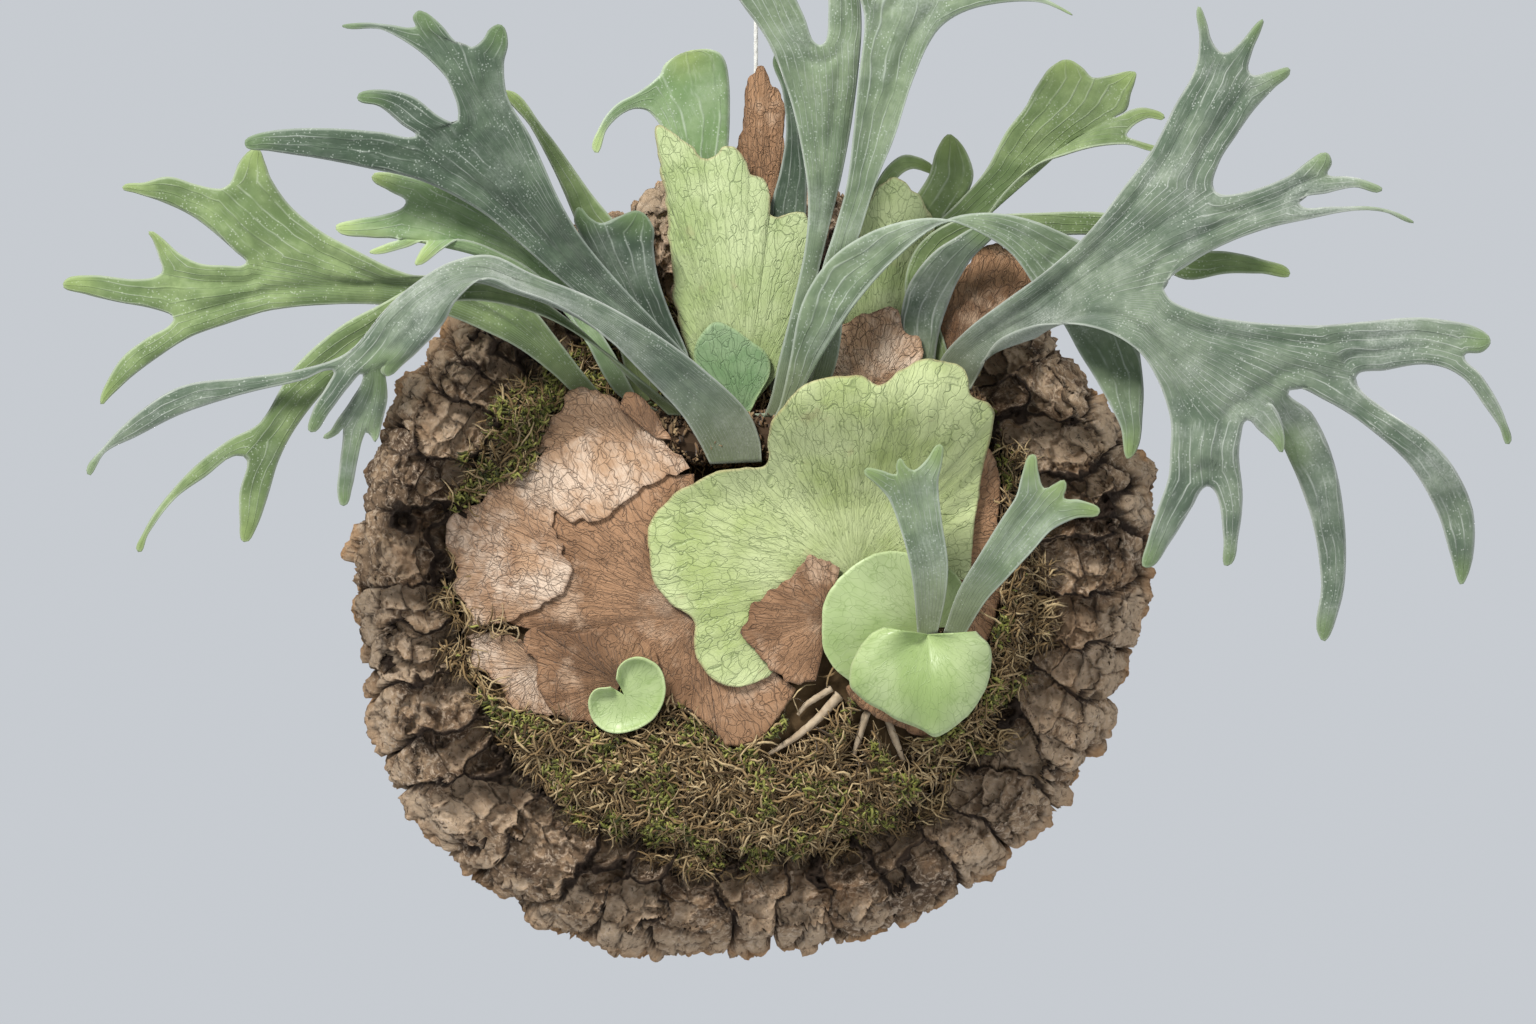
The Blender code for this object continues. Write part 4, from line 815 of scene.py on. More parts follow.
class Shade:
    """A short way to write a node material."""

    def __init__(self, name):
        self.material = bpy.data.materials.new(name)
        self.material.use_nodes = True
        self.tree = self.material.node_tree
        self.shader = self.tree.nodes["Principled BSDF"]
        self.coords = self.tree.nodes.new("ShaderNodeTexCoord").outputs["Object"]
        self.colour = None

    def node(self, kind, **inputs):
        made = self.tree.nodes.new(kind)
        for key, value in inputs.items():
            self.feed(made.inputs[key.replace("_", " ")], value)
        return made

    def feed(self, socket, value):
        if isinstance(value, bpy.types.NodeSocket):
            self.tree.links.new(value, socket)
        elif isinstance(value, tuple) and len(value) == 3 and socket.type == "RGBA":
            socket.default_value = (*value, 1.0)
        else:
            socket.default_value = value

    def attribute(self, name, output="Fac"):
        made = self.tree.nodes.new("ShaderNodeAttribute")
        made.attribute_name = name
        return made.outputs[output]

    def math(self, operation, a, b=0.0, c=0.0):
        made = self.tree.nodes.new("ShaderNodeMath")
        made.operation = operation
        for socket, value in zip(made.inputs, (a, b, c)):
            self.feed(socket, value)
        return made.outputs[0]

    def times(self, a, b):
        return self.math("MULTIPLY", a, b)

    def times_plus(self, a, b, c):
        return self.math("MULTIPLY_ADD", a, b, c)

    def noise(self, scale, detail=3.0, roughness=0.55, vector=None, distortion=0.0):
        made = self.node("ShaderNodeTexNoise", Scale=scale, Detail=detail,
                         Roughness=roughness, Distortion=distortion)
        self.feed(made.inputs["Vector"], vector or self.coords)
        return made.outputs["Fac"]

    def cells(self, scale, feature="DISTANCE_TO_EDGE", vector=None):
        made = self.tree.nodes.new("ShaderNodeTexVoronoi")
        made.feature = feature
        made.inputs["Scale"].default_value = scale
        self.feed(made.inputs["Vector"], vector or self.coords)
        return made.outputs["Distance"]

    def ramp(self, value, low, high, out_low=0.0, out_high=1.0):
        made = self.tree.nodes.new("ShaderNodeMapRange")
        made.interpolation_type = "SMOOTHSTEP"
        for key, number in (("From Min", low), ("From Max", high),
                            ("To Min", out_low), ("To Max", out_high)):
            made.inputs[key].default_value = number
        self.feed(made.inputs["Value"], value)
        return made.outputs["Result"]

    def mix(self, share, a, b, blend="MIX"):
        made = self.tree.nodes.new("ShaderNodeMix")
        made.data_type = "RGBA"
        made.blend_type = blend
        self.feed(made.inputs[0], share)
        self.feed(made.inputs[6], a)
        self.feed(made.inputs[7], b)
        return made.outputs[2]

    def tint(self, share, b):
        """Lays colour b over what has been built so far."""
        self.colour = self.mix(share, self.colour, b)

    def join(self, *parts):
        made = self.tree.nodes.new("ShaderNodeCombineXYZ")
        for socket, value in zip(made.inputs, parts):
            self.feed(socket, value)
        return made.outputs[0]

    def stretch(self, vector, x, y, z):
        made = self.tree.nodes.new("ShaderNodeMapping")
        made.inputs["Scale"].default_value = (x, y, z)
        self.feed(made.inputs["Vector"], vector)
        return made.outputs[0]

    def warp(self, vector, scale, amount):
        """The vector pushed about by noise, so that lines drawn with it wander."""
        made = self.node("ShaderNodeTexNoise", Scale=scale, Detail=2.0)
        self.feed(made.inputs["Vector"], vector)
        moved = self.tree.nodes.new("ShaderNodeVectorMath")
        moved.operation = "MULTIPLY_ADD"
        self.feed(moved.inputs[0], made.outputs["Color"])
        moved.inputs[1].default_value = (amount, amount, amount)
        self.feed(moved.inputs[2], vector)
        return moved.outputs[0]

    def finish(self, roughness, bump=None, distance=0.0006, strength=0.6, sheen=0.0, specular=0.4):
        self.feed(self.shader.inputs["Base Color"], self.colour)
        self.feed(self.shader.inputs["Roughness"], roughness)
        self.shader.inputs["Specular IOR Level"].default_value = specular
        self.shader.inputs["Sheen Weight"].default_value = sheen
        if bump is not None:
            made = self.tree.nodes.new("ShaderNodeBump")
            made.inputs["Strength"].default_value = strength
            made.inputs["Distance"].default_value = distance
            self.feed(made.inputs["Height"], bump)
            self.tree.links.new(made.outputs["Normal"], self.shader.inputs["Normal"])
        return self.material


# ---------------------------------------------------------------- leaf materials

def antler_material(name, dark, light, felt, tip, felted):
    """A strap frond: long veins, white felt in drifts and dots, a pale rim and fresher tips."""
    s = Shade(name)
    lane, run, edge = s.attribute("lane"), s.attribute("run"), s.attribute("edge")
    mottle = s.noise(38.0, 4.0)
    s.colour = s.mix(s.ramp(mottle, 0.35, 0.68), dark, light)
    fine = s.noise(260.0, 3.0)
    s.tint(s.ramp(fine, 0.35, 0.7, 0.0, 0.35), dark)
    wander = s.times_plus(s.noise(30.0, 2.0), 0.5, lane)
    vein = s.math("PINGPONG", s.times(wander, 3.0), 0.5)
    line = s.ramp(vein, 0.0, 0.11, 1.0, 0.0)
    patchy = s.ramp(s.noise(55.0, 2.0), 0.38, 0.62)
    s.tint(s.times(line, s.times(patchy, 0.3 + 0.35 * felted)), felt)
    drift = s.noise(24.0, 5.0, 0.62)
    drift = s.times(s.ramp(drift, 0.62 - 0.22 * felted, 0.80 - 0.1 * felted), 0.6 * felted)
    grain = s.ramp(s.noise(900.0, 2.0), 0.35, 0.65, 0.45, 1.0)
    s.tint(s.times(drift, grain), felt)
    hair_way = s.join(s.times(wander, 14.0), s.times(run, 0.11), 0.0)
    streak = s.ramp(s.noise(1.0, 4.0, 0.6, vector=hair_way), 0.52, 0.72, 0.0, 0.35 * felted)
    s.tint(streak, felt)
    dots = s.ramp(s.cells(620.0, "F1"), 0.16, 0.3, 1.0, 0.0)
    dots = s.times(dots, s.ramp(s.noise(90.0, 2.0), 0.42, 0.6, 0.0, 0.55))
    s.tint(dots, felt)
    rim = s.ramp(edge, 0.3, 1.5, 0.55, 0.0)
    s.tint(rim, felt)
    ends = s.ramp(s.times_plus(s.noise(70.0, 2.0), 8.0, s.attribute("to_tip")), 6.0, 24.0, 0.6, 0.0)
    s.tint(ends, tip)
    foot = s.ramp(run, 6.0, 46.0, 0.45, 0.0)
    s.tint(foot, (0.16, 0.17, 0.07))
    height = s.times_plus(line, 0.5, s.times(fine, 0.5))
    return s.finish(s.ramp(fine, 0.3, 0.7, 0.62, 0.86), height, 0.0007, 0.6, 0.18 + 0.3 * felted, 0.3)


def vein_masks(s, across, reach, wander):
    """Main veins, the net between them and the fine net, as masks over the flow attribute."""
    flow = s.warp(s.attribute("flow", "Vector"), 0.06, wander)
    main = s.cells(1.0, vector=s.stretch(flow, 1 / across, 0.35 / reach, 1.0))
    net = s.cells(1.0, vector=s.stretch(flow, 1.7 / across, 1.5 / reach, 1.0))
    fine = s.cells(1.0, vector=s.stretch(flow, 4.0 / across, 4.5 / reach, 1.0))
    return [s.ramp(lines, 0.0, wide, 1.0, 0.0)
            for lines, wide in ((main, 0.04), (net, 0.045), (fine, 0.09))]


def shield_material(name, base, light, vein, spot, gloss, spots, strength):
    """A living shield frond: veins that fan from its root and a net between them."""
    s = Shade(name)
    main, net, fine = vein_masks(s, 7.0, 16.0, 5.0)
    mottle = s.noise(26.0, 4.0)
    s.colour = s.mix(s.ramp(mottle, 0.36, 0.62), base, light)
    between = s.ramp(s.noise(130.0, 3.0), 0.35, 0.7, 0.0, 0.35)
    s.tint(between, light)
    s.tint(s.times(fine, 0.16 * strength), vein)
    s.tint(s.times(net, 0.36 * strength), vein)
    s.tint(s.times(main, 0.6 * strength), vein)
    blots = s.ramp(s.noise(60.0, 3.0, 0.6), 0.62, 0.74, 0.0, spots)
    s.tint(blots, spot)
    edge = s.attribute("edge")
    s.tint(s.ramp(s.times_plus(mottle, 2.0, edge), 1.0, 2.6, 0.6, 0.0), spot)
    height = s.times_plus(main, -1.0, s.times_plus(net, -0.5, s.times(fine, -0.15)))
    return s.finish(s.ramp(mottle, 0.3, 0.7, gloss - 0.08, gloss + 0.12), height, 0.0008, 0.6, 0.08, 0.4)


def young_material():
    """A young shield frond: smooth, bright and faintly veined."""
    s = Shade("young_shield_looks")
    main, net, _fine = vein_masks(s, 6.0, 12.0, 4.0)
    s.colour = s.mix(s.ramp(s.noise(30.0, 3.0), 0.3, 0.7), (0.29, 0.40, 0.14), (0.46, 0.56, 0.28))
    s.tint(s.times(net, 0.26), (0.19, 0.29, 0.08))
    s.tint(s.times(main, 0.42), (0.19, 0.29, 0.08))
    edge = s.attribute("edge")
    s.tint(s.ramp(edge, 0.3, 1.6, 0.5, 0.0), (0.56, 0.66, 0.34))
    fine = s.noise(300.0, 2.0)
    return s.finish(s.ramp(fine, 0.3, 0.7, 0.36, 0.52), net, 0.0003, 0.4, 0.1, 0.45)


def dead_material(name, base, dark, pale, bleach, flaking):
    """A dead papery shield frond: veined, blotched, streaked, and flaking where it is bleached."""
    s = Shade(name)
    main, net, fine = vein_masks(s, 8.0, 18.0, 7.0)
    blotch = s.noise(20.0, 6.0, 0.66)
    s.colour = s.mix(s.ramp(blotch, 0.33, 0.58), dark, base)
    fade = s.ramp(s.noise(30.0, 6.0, 0.68), 0.60 - 0.2 * bleach, 0.72 - 0.1 * bleach, 0.0, 0.9)
    s.tint(fade, pale)
    flow = s.attribute("flow", "Vector")
    streak = s.noise(1.0, 4.0, 0.62, vector=s.stretch(flow, 0.9, 0.07, 1.0))
    s.tint(s.ramp(streak, 0.5, 0.72, 0.0, 0.45), dark)
    s.tint(s.ramp(streak, 0.28, 0.44, 0.3, 0.0), pale)
    s.tint(s.times(fine, 0.12), dark)
    s.tint(s.times(net, 0.2), dark)
    s.tint(s.times(main, 0.42), dark)
    plates = s.cells(120.0, vector=s.warp(s.coords, 90.0, 0.011))
    flake = s.times(s.ramp(plates, 0.0, 0.03, 1.0, 0.0), s.ramp(s.noise(34.0), 0.45, 0.6, 0.0, flaking))
    s.tint(s.times(flake, 0.4), dark)
    edge = s.attribute("edge")
    s.tint(s.ramp(s.times_plus(blotch, 2.5, edge), 1.4, 3.4, 0.5, 0.0), dark)
    specks = s.ramp(s.noise(420.0, 2.0), 0.64, 0.74, 0.0, 0.45)
    s.tint(specks, dark)
    height = s.times_plus(main, 0.7, s.times_plus(net, 0.4, s.times(streak, 1.1)))
    height = s.times_plus(flake, -1.0, height)
    return s.finish(s.ramp(blotch, 0.3, 0.7, 0.72, 0.92), height, 0.0012, 0.9, 0.1, 0.25)


# ---------------------------------------------------------------- ground materials

def bark_material():
    """Virgin cork: grey-brown blocks, a tan edge towards the wall, and painted shade: fissures and pits
    nearly black, sunken blocks darker, raised ones lighter.
    """
    s = Shade("cork_bark_looks")
    crack, tone, rim = s.attribute("crack"), s.attribute("tone"), s.attribute("inner_cork")
    rough = s.noise(70.0, 7.0, 0.72)
    s.colour = s.mix(s.ramp(rough, 0.34, 0.6), (0.16, 0.10, 0.06), (0.44, 0.305, 0.19))
    # tone is partly random and partly painted light: raised blocks get this painted highlight, sunken ones
    # the painted shade below
    s.tint(s.ramp(tone, 0.46, 0.72, 0.0, 0.85), (0.60, 0.45, 0.31))
    s.tint(s.ramp(tone, 0.2, 0.45, 0.6, 0.0), (0.085, 0.054, 0.036))
    flakes = s.ramp(s.noise(210.0, 5.0, 0.7, distortion=1.5), 0.50, 0.62, 0.0, 0.8)
    s.tint(flakes, (0.66, 0.52, 0.385))
    chips = s.ramp(s.noise(150.0, 5.0, 0.7, distortion=2.0), 0.34, 0.46, 0.8, 0.0)
    s.tint(chips, (0.060, 0.036, 0.024))
    tan = s.times(s.ramp(rim, 0.1, 0.8, 0.0, 0.9), s.ramp(s.noise(60.0, 4.0), 0.38, 0.52, 0.1, 1.0))
    s.tint(tan, (0.56, 0.33, 0.17))
    warm = s.ramp(s.noise(28.0, 3.0), 0.55, 0.7, 0.0, 0.5)
    s.tint(warm, (0.38, 0.225, 0.12))
    # painted shade: the crack attribute tints the recessed fissures, ledges, splits and pits nearly black
    s.tint(s.ramp(crack, 0.15, 0.85, 0.0, 0.94), (0.018, 0.011, 0.008))
    height = s.times_plus(s.noise(260.0, 6.0, 0.75, distortion=1.0), 0.6, rough)
    return s.finish(s.ramp(rough, 0.3, 0.7, 0.85, 0.98), height, 0.0035, 1.0, 0.0, 0.15)


def fibre_material(name, dark, mid, light):
    """Moss, roots and scales: each strand has its own tone."""
    s = Shade(name)
    tone = s.attribute("tone")
    s.colour = s.mix(s.ramp(tone, 0.0, 0.5), dark, mid)
    s.tint(s.ramp(tone, 0.5, 1.0), light)
    fine = s.noise(500.0, 3.0)
    s.tint(s.ramp(fine, 0.4, 0.7, 0.0, 0.4), dark)
    return s.finish(s.ramp(fine, 0.3, 0.7, 0.8, 0.9), fine, 0.0004, 0.6, 0.1, 0.2)


def cord_material():
    s = Shade("cotton_cord_looks")
    fluff = s.noise(1600.0, 3.0)
    s.colour = s.mix(s.ramp(fluff, 0.35, 0.7), (0.62, 0.61, 0.57), (0.88, 0.87, 0.84))
    return s.finish(s.ramp(fluff, 0.3, 0.7, 0.75, 0.9), fluff, 0.0003, 0.6, 0.3, 0.25)


def steel_material():
    s = Shade("zinc_steel_looks")
    wear = s.noise(400.0, 4.0)
    s.colour = s.mix(s.ramp(wear, 0.4, 0.7), (0.50, 0.50, 0.51), (0.66, 0.66, 0.66))
    s.shader.inputs["Metallic"].default_value = 1.0
    return s.finish(s.ramp(wear, 0.3, 0.7, 0.26, 0.46), wear, 0.0001, 0.4)


# look: slot, the function that makes its material and what the function is given
LOOKS = {
    "felted": ("felted_frond", antler_material, "felted_frond_looks", (0.115, 0.165, 0.092),
        (0.215, 0.28, 0.165), (0.50, 0.56, 0.48), (0.24, 0.34, 0.10), 0.7),
    "silver": ("felted_frond", antler_material, "silver_frond_looks", (0.085, 0.125, 0.080),
        (0.180, 0.230, 0.155), (0.53, 0.57, 0.51), (0.17, 0.26, 0.08), 0.8),
    "dark": ("dark_frond", antler_material, "dark_frond_looks", (0.045, 0.075, 0.045), (0.10, 0.145, 0.09),
        (0.42, 0.47, 0.41), (0.13, 0.21, 0.07), 0.55),
    "green": ("green_frond", antler_material, "green_frond_looks", (0.12, 0.18, 0.065),
        (0.235, 0.315, 0.13), (0.48, 0.54, 0.41), (0.27, 0.36, 0.11), 0.4),
    "pale": ("pale_frond", antler_material, "pale_frond_looks", (0.17, 0.27, 0.11), (0.31, 0.42, 0.22),
        (0.60, 0.67, 0.55), (0.38, 0.48, 0.15), 0.6),
    "shield_green": ("green_shield", shield_material, "green_shield_looks", (0.37, 0.45, 0.165),
        (0.53, 0.60, 0.30), (0.15, 0.21, 0.065), (0.36, 0.26, 0.13), 0.5, 0.3, 0.75),
    "shield_tall": ("green_shield", shield_material, "tall_shield_looks", (0.35, 0.44, 0.18),
        (0.51, 0.59, 0.31), (0.15, 0.22, 0.08), (0.36, 0.26, 0.15), 0.5, 0.3, 0.65),
    "shield_bluish": ("pale_frond", shield_material, "bluish_shield_looks", (0.16, 0.27, 0.12),
        (0.29, 0.40, 0.22), (0.10, 0.18, 0.08), (0.32, 0.42, 0.20), 0.5, 0.1, 0.6),
    "pup_green": ("young_shield", young_material),
    "paper_brown": ("papery_shield", dead_material, "papery_shield_looks", (0.43, 0.245, 0.135),
        (0.21, 0.11, 0.055), (0.62, 0.43, 0.29), 0.4, 0.3),
    "bleached_brown": ("bleached_shield", dead_material, "bleached_shield_looks", (0.52, 0.33, 0.20),
        (0.30, 0.165, 0.09), (0.76, 0.60, 0.46), 0.9, 1.0),
    "bark": ("cork_bark", bark_material),
    "moss_brown": ("sphagnum", fibre_material, "sphagnum_looks", (0.07, 0.042, 0.018), (0.29, 0.19, 0.085),
        (0.58, 0.44, 0.24)),
    "moss_green": ("green_moss", fibre_material, "green_moss_looks", (0.06, 0.065, 0.016),
        (0.21, 0.215, 0.045), (0.43, 0.42, 0.12)),
    "root": ("root", fibre_material, "root_looks", (0.30, 0.21, 0.13), (0.54, 0.43, 0.30),
        (0.72, 0.62, 0.48)),
    "scales": ("rhizome_scales", fibre_material, "rhizome_scale_looks", (0.06, 0.035, 0.018),
        (0.20, 0.12, 0.06), (0.40, 0.28, 0.15)),
    "cord": ("cotton_cord", cord_material),
    "steel": ("zinc_steel", steel_material),
}
made_materials = {}


def material(look):
    """The look's material, made at its first use."""
    if look not in made_materials:
        _slot, make, *values = LOOKS[look]
        made_materials[look] = make(*values)
    return made_materials[look]


# ---------------------------------------------------------------- fine antler fronds

def frond(outline, look, cup, wave, seed):
    """Builds one strap frond from its outline, smoothed and gently cupped and waved."""
    name = outline.__name__
    strip = seated(outline(), PUP_RHIZOME if name.startswith("pup_") else RHIZOME)
    sheet = FrondSheet(strip, COLUMNS_PER_LOBE, ROW_LENGTH)
    points = np.array(sheet.verts)
    pairs = edge_pairs(sheet.faces)
    points[:, 2] = relax(points[:, 2], pairs, 60)
    edge = edge_distance(points, pairs)
    run = np.array(sheet.runs)
    grown = step(run, 10.0, 60.0)
    flat = np.stack([points[:, 0], np.zeros(len(points)), points[:, 1]], axis=1)
    points[:, 2] += cup * grown * (1.0 - np.exp(-edge / 5.0))
    points[:, 2] += wave * grown * value_noise(flat, 42.0, seed, 2)
    points[:, 2] -= 0.9 * cup * grown * np.exp(-((edge - 9.0) / 3.5) ** 2)
    points[:, 2] += 0.5 * grown * value_noise(flat, 9.0, seed + 5, 2)
    obj = add_piece(name + "_leaf", place_all(points), sheet.faces, look, (name,))
    set_values(obj, "lane", sheet.lanes)
    set_values(obj, "run", run)
    set_values(obj, "edge", edge)
    set_values(obj, "to_tip", flat_distance(points, tip_points(strip)))
    return thicken(obj, LEAF_THICK)


def tip_points(strip):
    if not strip.get("kids"):
        return [strip["tip"]]
    return [p for kid in strip["kids"] for p in tip_points(kid)]


# outline, which is named after its piece, look, cup, wave
FRONDS = (
    (antler_upper_left, "dark", 2.0, 3.0),
    (antler_left, "green", 2.5, 3.0),
    (antler_arching_left, "silver", 2.5, 2.5),
    (antler_hanging_left, "green", 2.0, 2.0),
    (antler_pale_left, "pale", 2.0, 2.0),
    (antler_behind_left, "green", 1.0, 1.0),
    (antler_dark_wavy, "dark", 2.0, 2.5),
    (antler_curled_tip, "pale", 0.6, 0.8),
    (antler_upright, "felted", 2.5, 2.5),
    (antler_narrow_dark, "dark", 0.6, 0.8),
    (antler_upright_right, "felted", 2.5, 2.5),
    (antler_arching_right, "felted", 2.5, 2.0),
    (antler_behind_right, "green", 0.8, 1.0),
    (antler_small_grey, "silver", 1.0, 1.0),
    (antler_back_right, "green", 0.8, 1.0),
    (antler_back_small, "green", 0.4, 0.4),
    (antler_back_curl, "green", 0.3, 0.3),
    (antler_big_right, "silver", 3.0, 4.0),
    (pup_antler_left, "felted", 1.5, 1.5),
    (pup_antler_right, "felted", 1.5, 1.5),
)


# ---------------------------------------------------------------- fine shield fronds

def ragged(line, amount, size, seed):
    """A line with a torn or scalloped edge."""
    out = []
    for k, p in enumerate(line):
        ahead = line[min(k + 1, len(line) - 1)] - line[max(k - 1, 0)]
        side = Vector((ahead.y, -ahead.x)).normalized()
        push = noise.fractal(Vector((p.x / size, p.y / size, seed)), 1.0, 2.0, 3)
        fade = min(1.0, k / 6.0, (len(line) - 1 - k) / 6.0)
        out.append(p + side * (push * amount * fade))
    return out


def fine_sheet(inner, outer, depth, samples, rings, wave, curl, seed):
    """Points, faces and flow of a sheet ruled between two lines."""
    points = []
    flow = []
    arc = 0.0
    last = None
    for k in range(samples + 1):
        u = k / samples
        a = along(inner, u) if len(inner) > 1 else inner[0]
        b = along(outer, u)
        if last is not None:
            arc += (b - last).length
        last = b
        reach = (b - a).length
        for r in range(rings + 1):
            v = r / rings
            flat = a.lerp(b, v)
            d = depth(flat.x, flat.y, v)
            d += wave * v * (noise.fractal(Vector((flat.x / 26.0, flat.y / 26.0, seed)), 1.0, 2.0, 3) + 0.3)
            d += 0.5 * wave * v * noise.noise(Vector((arc * 0.11, reach * v * 0.03, seed * 7.0)))
            lift = noise.noise(Vector((u * 9.0, seed * 3.0, 0.0))) + 0.35
            d += curl * v ** 6 * max(0.0, lift)
            points.append((flat.x, flat.y, d))
            flow.append((arc * 0.8, reach * v, seed * 31.0))
    wide = rings + 1
    faces = []
    for k in range(samples):
        for r in range(rings):
            quad = (k * wide + r, k * wide + r + 1, (k + 1) * wide + r + 1, (k + 1) * wide + r)
            faces.append(quad)
    return np.array(points), faces, np.array(flow)


def shield_piece(name, inner, outer, depth, look, tear, wave, curl, seed):
    outer = ragged(outer, tear[0], tear[1], seed)
    samples = max(40, int(length_of(outer) / 1.6))
    reach = max((p - inner[0]).length for p in outer)
    rings = max(16, int(reach / 2.2))
    points, faces, flow = fine_sheet(inner, outer, depth, samples, rings, wave, curl, seed)
    rim = outer + (inner if len(inner) > 1 else [])
    obj = add_piece(name + "_leaf", place_all(points), faces, look, (name,))
    set_values(obj, "edge", flat_distance(points, rim))
    set_vectors(obj, "flow", flow)
    return thicken(obj, SHIELD_THICK)


def build_shields():
    for seed, (name, root, outline, depth, look, tear, wave, curl) in enumerate(SHIELDS):
        if name in SHIELDS_ON_RHIZOME:
            root = (root[0], top_of(RHIZOME, root[0], depth(root[0], root[1], 0.0)) - 0.3)
        outer = curve_through(outline, steps=14)
        shield_piece(name, [Vector(root)], outer, depth, look, tear, wave, curl, seed + 1)
    inner = ragged(curve_through(CRACKED_INNER, steps=14), 2.5, 6.0, 77)
    outer = curve_through(CRACKED_OUTER, steps=14)
    shield_piece("shield_brown_cracked", inner, outer, draped(1.45), "bleached_brown", (2.0, 8.0), 1.2, 3.0,
        40)


# ---------------------------------------------------------------- bark slab

# share of the rim radius and depth, from the middle of the back round the rim to the middle of the front
BARK_PROFILE = ((0.0, 0.0), (0.93, 0.0), (0.97, 6.0), (1.0, 18.0), (0.985, 30.0), (0.94, 41.0),
    (0.87, 46.0), (0.78, 44.0), (0.60, 43.0), (0.0, 43.0))
BARK_ACROSS = 1000
BARK_ROWS = ((26, 0), (8, 1), (12, 2), (12, 3), (12, 4), (18, 5), (26, 6), (22, 7), (3, 8))


def bark_profile():
    """Profile rows of rim share and depth, their outward directions and their distance along in mm."""
    rows = []
    for count, k in BARK_ROWS:
        (s0, d0), (s1, d1) = BARK_PROFILE[k], BARK_PROFILE[k + 1]
        for j in range(count):
            t = j / count
            rows.append([s0 + (s1 - s0) * t, d0 + (d1 - d0) * t])
    rows.append(list(BARK_PROFILE[-1]))
    rows = np.array(rows)
    for _ in range(6):
        rows[30:-4] = 0.25 * rows[29:-5] + 0.5 * rows[30:-4] + 0.25 * rows[31:-3]
    step_mm = np.hypot(np.diff(rows[:, 0]) * SLAB_RADIUS, np.diff(rows[:, 1]))
    way = np.concatenate([[0.0], np.cumsum(step_mm)])
    slope = np.gradient(rows, axis=0)
    normal = np.stack([slope[:, 1], -slope[:, 0] * SLAB_RADIUS], axis=1)
    normal /= np.maximum(np.linalg.norm(normal, axis=1), 1e-9)[:, None]
    return rows, normal, way


def bark_cells(turn, way, columns, length, push_a, push_b, seed):
    """How far each point is from a gap between blocks, and which block it is in."""
    near, second, cell = worley(turn * columns + push_a, way / length + push_b, columns, seed)
    return second - near, cell


def bark_slab():
    rows, normal, way = bark_profile()
    count = len(rows)
    angle = 2 * math.pi * np.arange(BARK_ACROSS) / BARK_ACROSS
    edge_radius = np.array([slab_edge(a) for a in angle])
    a_grid, r_grid = np.meshgrid(angle, np.arange(count))
    share, depth, go = rows[r_grid, 0], rows[r_grid, 1], way[r_grid]
    radius = edge_radius[None, :] * share
    flat = np.stack([radius * np.cos(a_grid), depth, radius * np.sin(a_grid)], axis=2).reshape(-1, 3)

    def bumps(scale, seed, octaves):
        return value_noise(flat, scale, seed, octaves).reshape(a_grid.shape)

    warp_a, warp_b, jitter = bumps(38.0, 3, 3), bumps(30.0, 9, 3), bumps(5.0, 14, 2)
    turn = a_grid / (2 * math.pi)
    rim_way = way[BARK_ROWS[0][0] + BARK_ROWS[1][0]]
    big, cell = bark_cells(turn, go - rim_way, 38, 76.0, warp_a * 0.45 + jitter * 0.07, warp_b * 0.5, 5)
    middle, part = bark_cells(turn, go - rim_way, 76, 13.0, warp_b * 0.45 + jitter * 0.12, warp_a * 0.4, 8)
    small, crumb = bark_cells(turn, go - rim_way, 230, 5.2, warp_a * 1.1 + jitter * 0.3, warp_b * 1.2, 11)
    tone = 0.3 * hashed(cell, 3) + 0.4 * hashed(part, 4) + 0.3 * hashed(crumb, 2)
    rough = bumps(6.0, 4, 4)
    ridged = 1.0 - np.abs(bumps(11.0, 21, 3)) * 2.2
    open_wide = 0.07 + 0.10 * (warp_b + 0.6)
    crack = 1.0 - step(big / np.maximum(open_wide, 0.03), 0.15, 1.0)
    split = (1.0 - step(middle, 0.0, 0.15)) * step(warp_a + 0.6, 0.1, 0.6)
    pit = 1.0 - step(small, 0.0, 0.18)
    layer = (go + 5.0 * warp_a + 4.0 * jitter + 30.0 * hashed(cell, 6)) / (6.0 + 5.0 * hashed(cell, 7))
    ledge = 1.0 - step(np.abs((layer % 1.0) - 0.5) * 2.0, 0.0, 0.35)
    ledge *= step(warp_b + 0.7, 0.3, 0.8)
    height = (hashed(cell, 3) - 0.5) * 6.5 + (hashed(part, 4) - 0.5) * 4.4 + (hashed(crumb, 2) - 0.5) * 2.0
    height += (3.8 * step(big, 0.0, 0.5) + 1.4 * step(middle, 0.0, 0.5)
               - 8.0 * crack - 3.6 * split - 1.2 * pit)
    height += 1.5 * rough + 1.1 * ridged - 1.9 * ledge - 1.5
    back = depth < 0.5
    height = np.where(back, -0.6 * split - 0.3 * (rough + 1.0) * (share < 0.9), height)
    front_inner = step(share, 0.64, 0.74)
    height = np.where(depth > 40.0, height * front_inner, height)
    rim_soft = step(depth, 0.0, 7.0)
    height = np.where(back, height * step(share, 0.0, 0.05) * (1.0 - step(share, 0.86, 0.92)),
                      height * rim_soft)
    nr, nd = normal[r_grid, 0], normal[r_grid, 1]
    radius = radius + height * np.where(back, 0.0, nr)
    depth = np.maximum(depth + height * np.where(back, -1.0, -nd), 0.0)
    # half of tone is random block tone, half is painted light from the height: painted highlight on raised
    # blocks, painted shade on sunken ones
    tone = 0.5 * tone + 0.5 * step(height, -4.0, 6.0)
    # painted shade mask: the recessed cracks, ledges, splits and pits, which the material tints nearly
    # black
    painted_fissure_shade = np.where(back, 0.0, np.maximum(crack, 0.6 * ledge))
    painted_fissure_shade = np.maximum(painted_fissure_shade, np.maximum(split * 0.75, pit * 0.4))
    return a_grid, radius, depth, painted_fissure_shade, tone


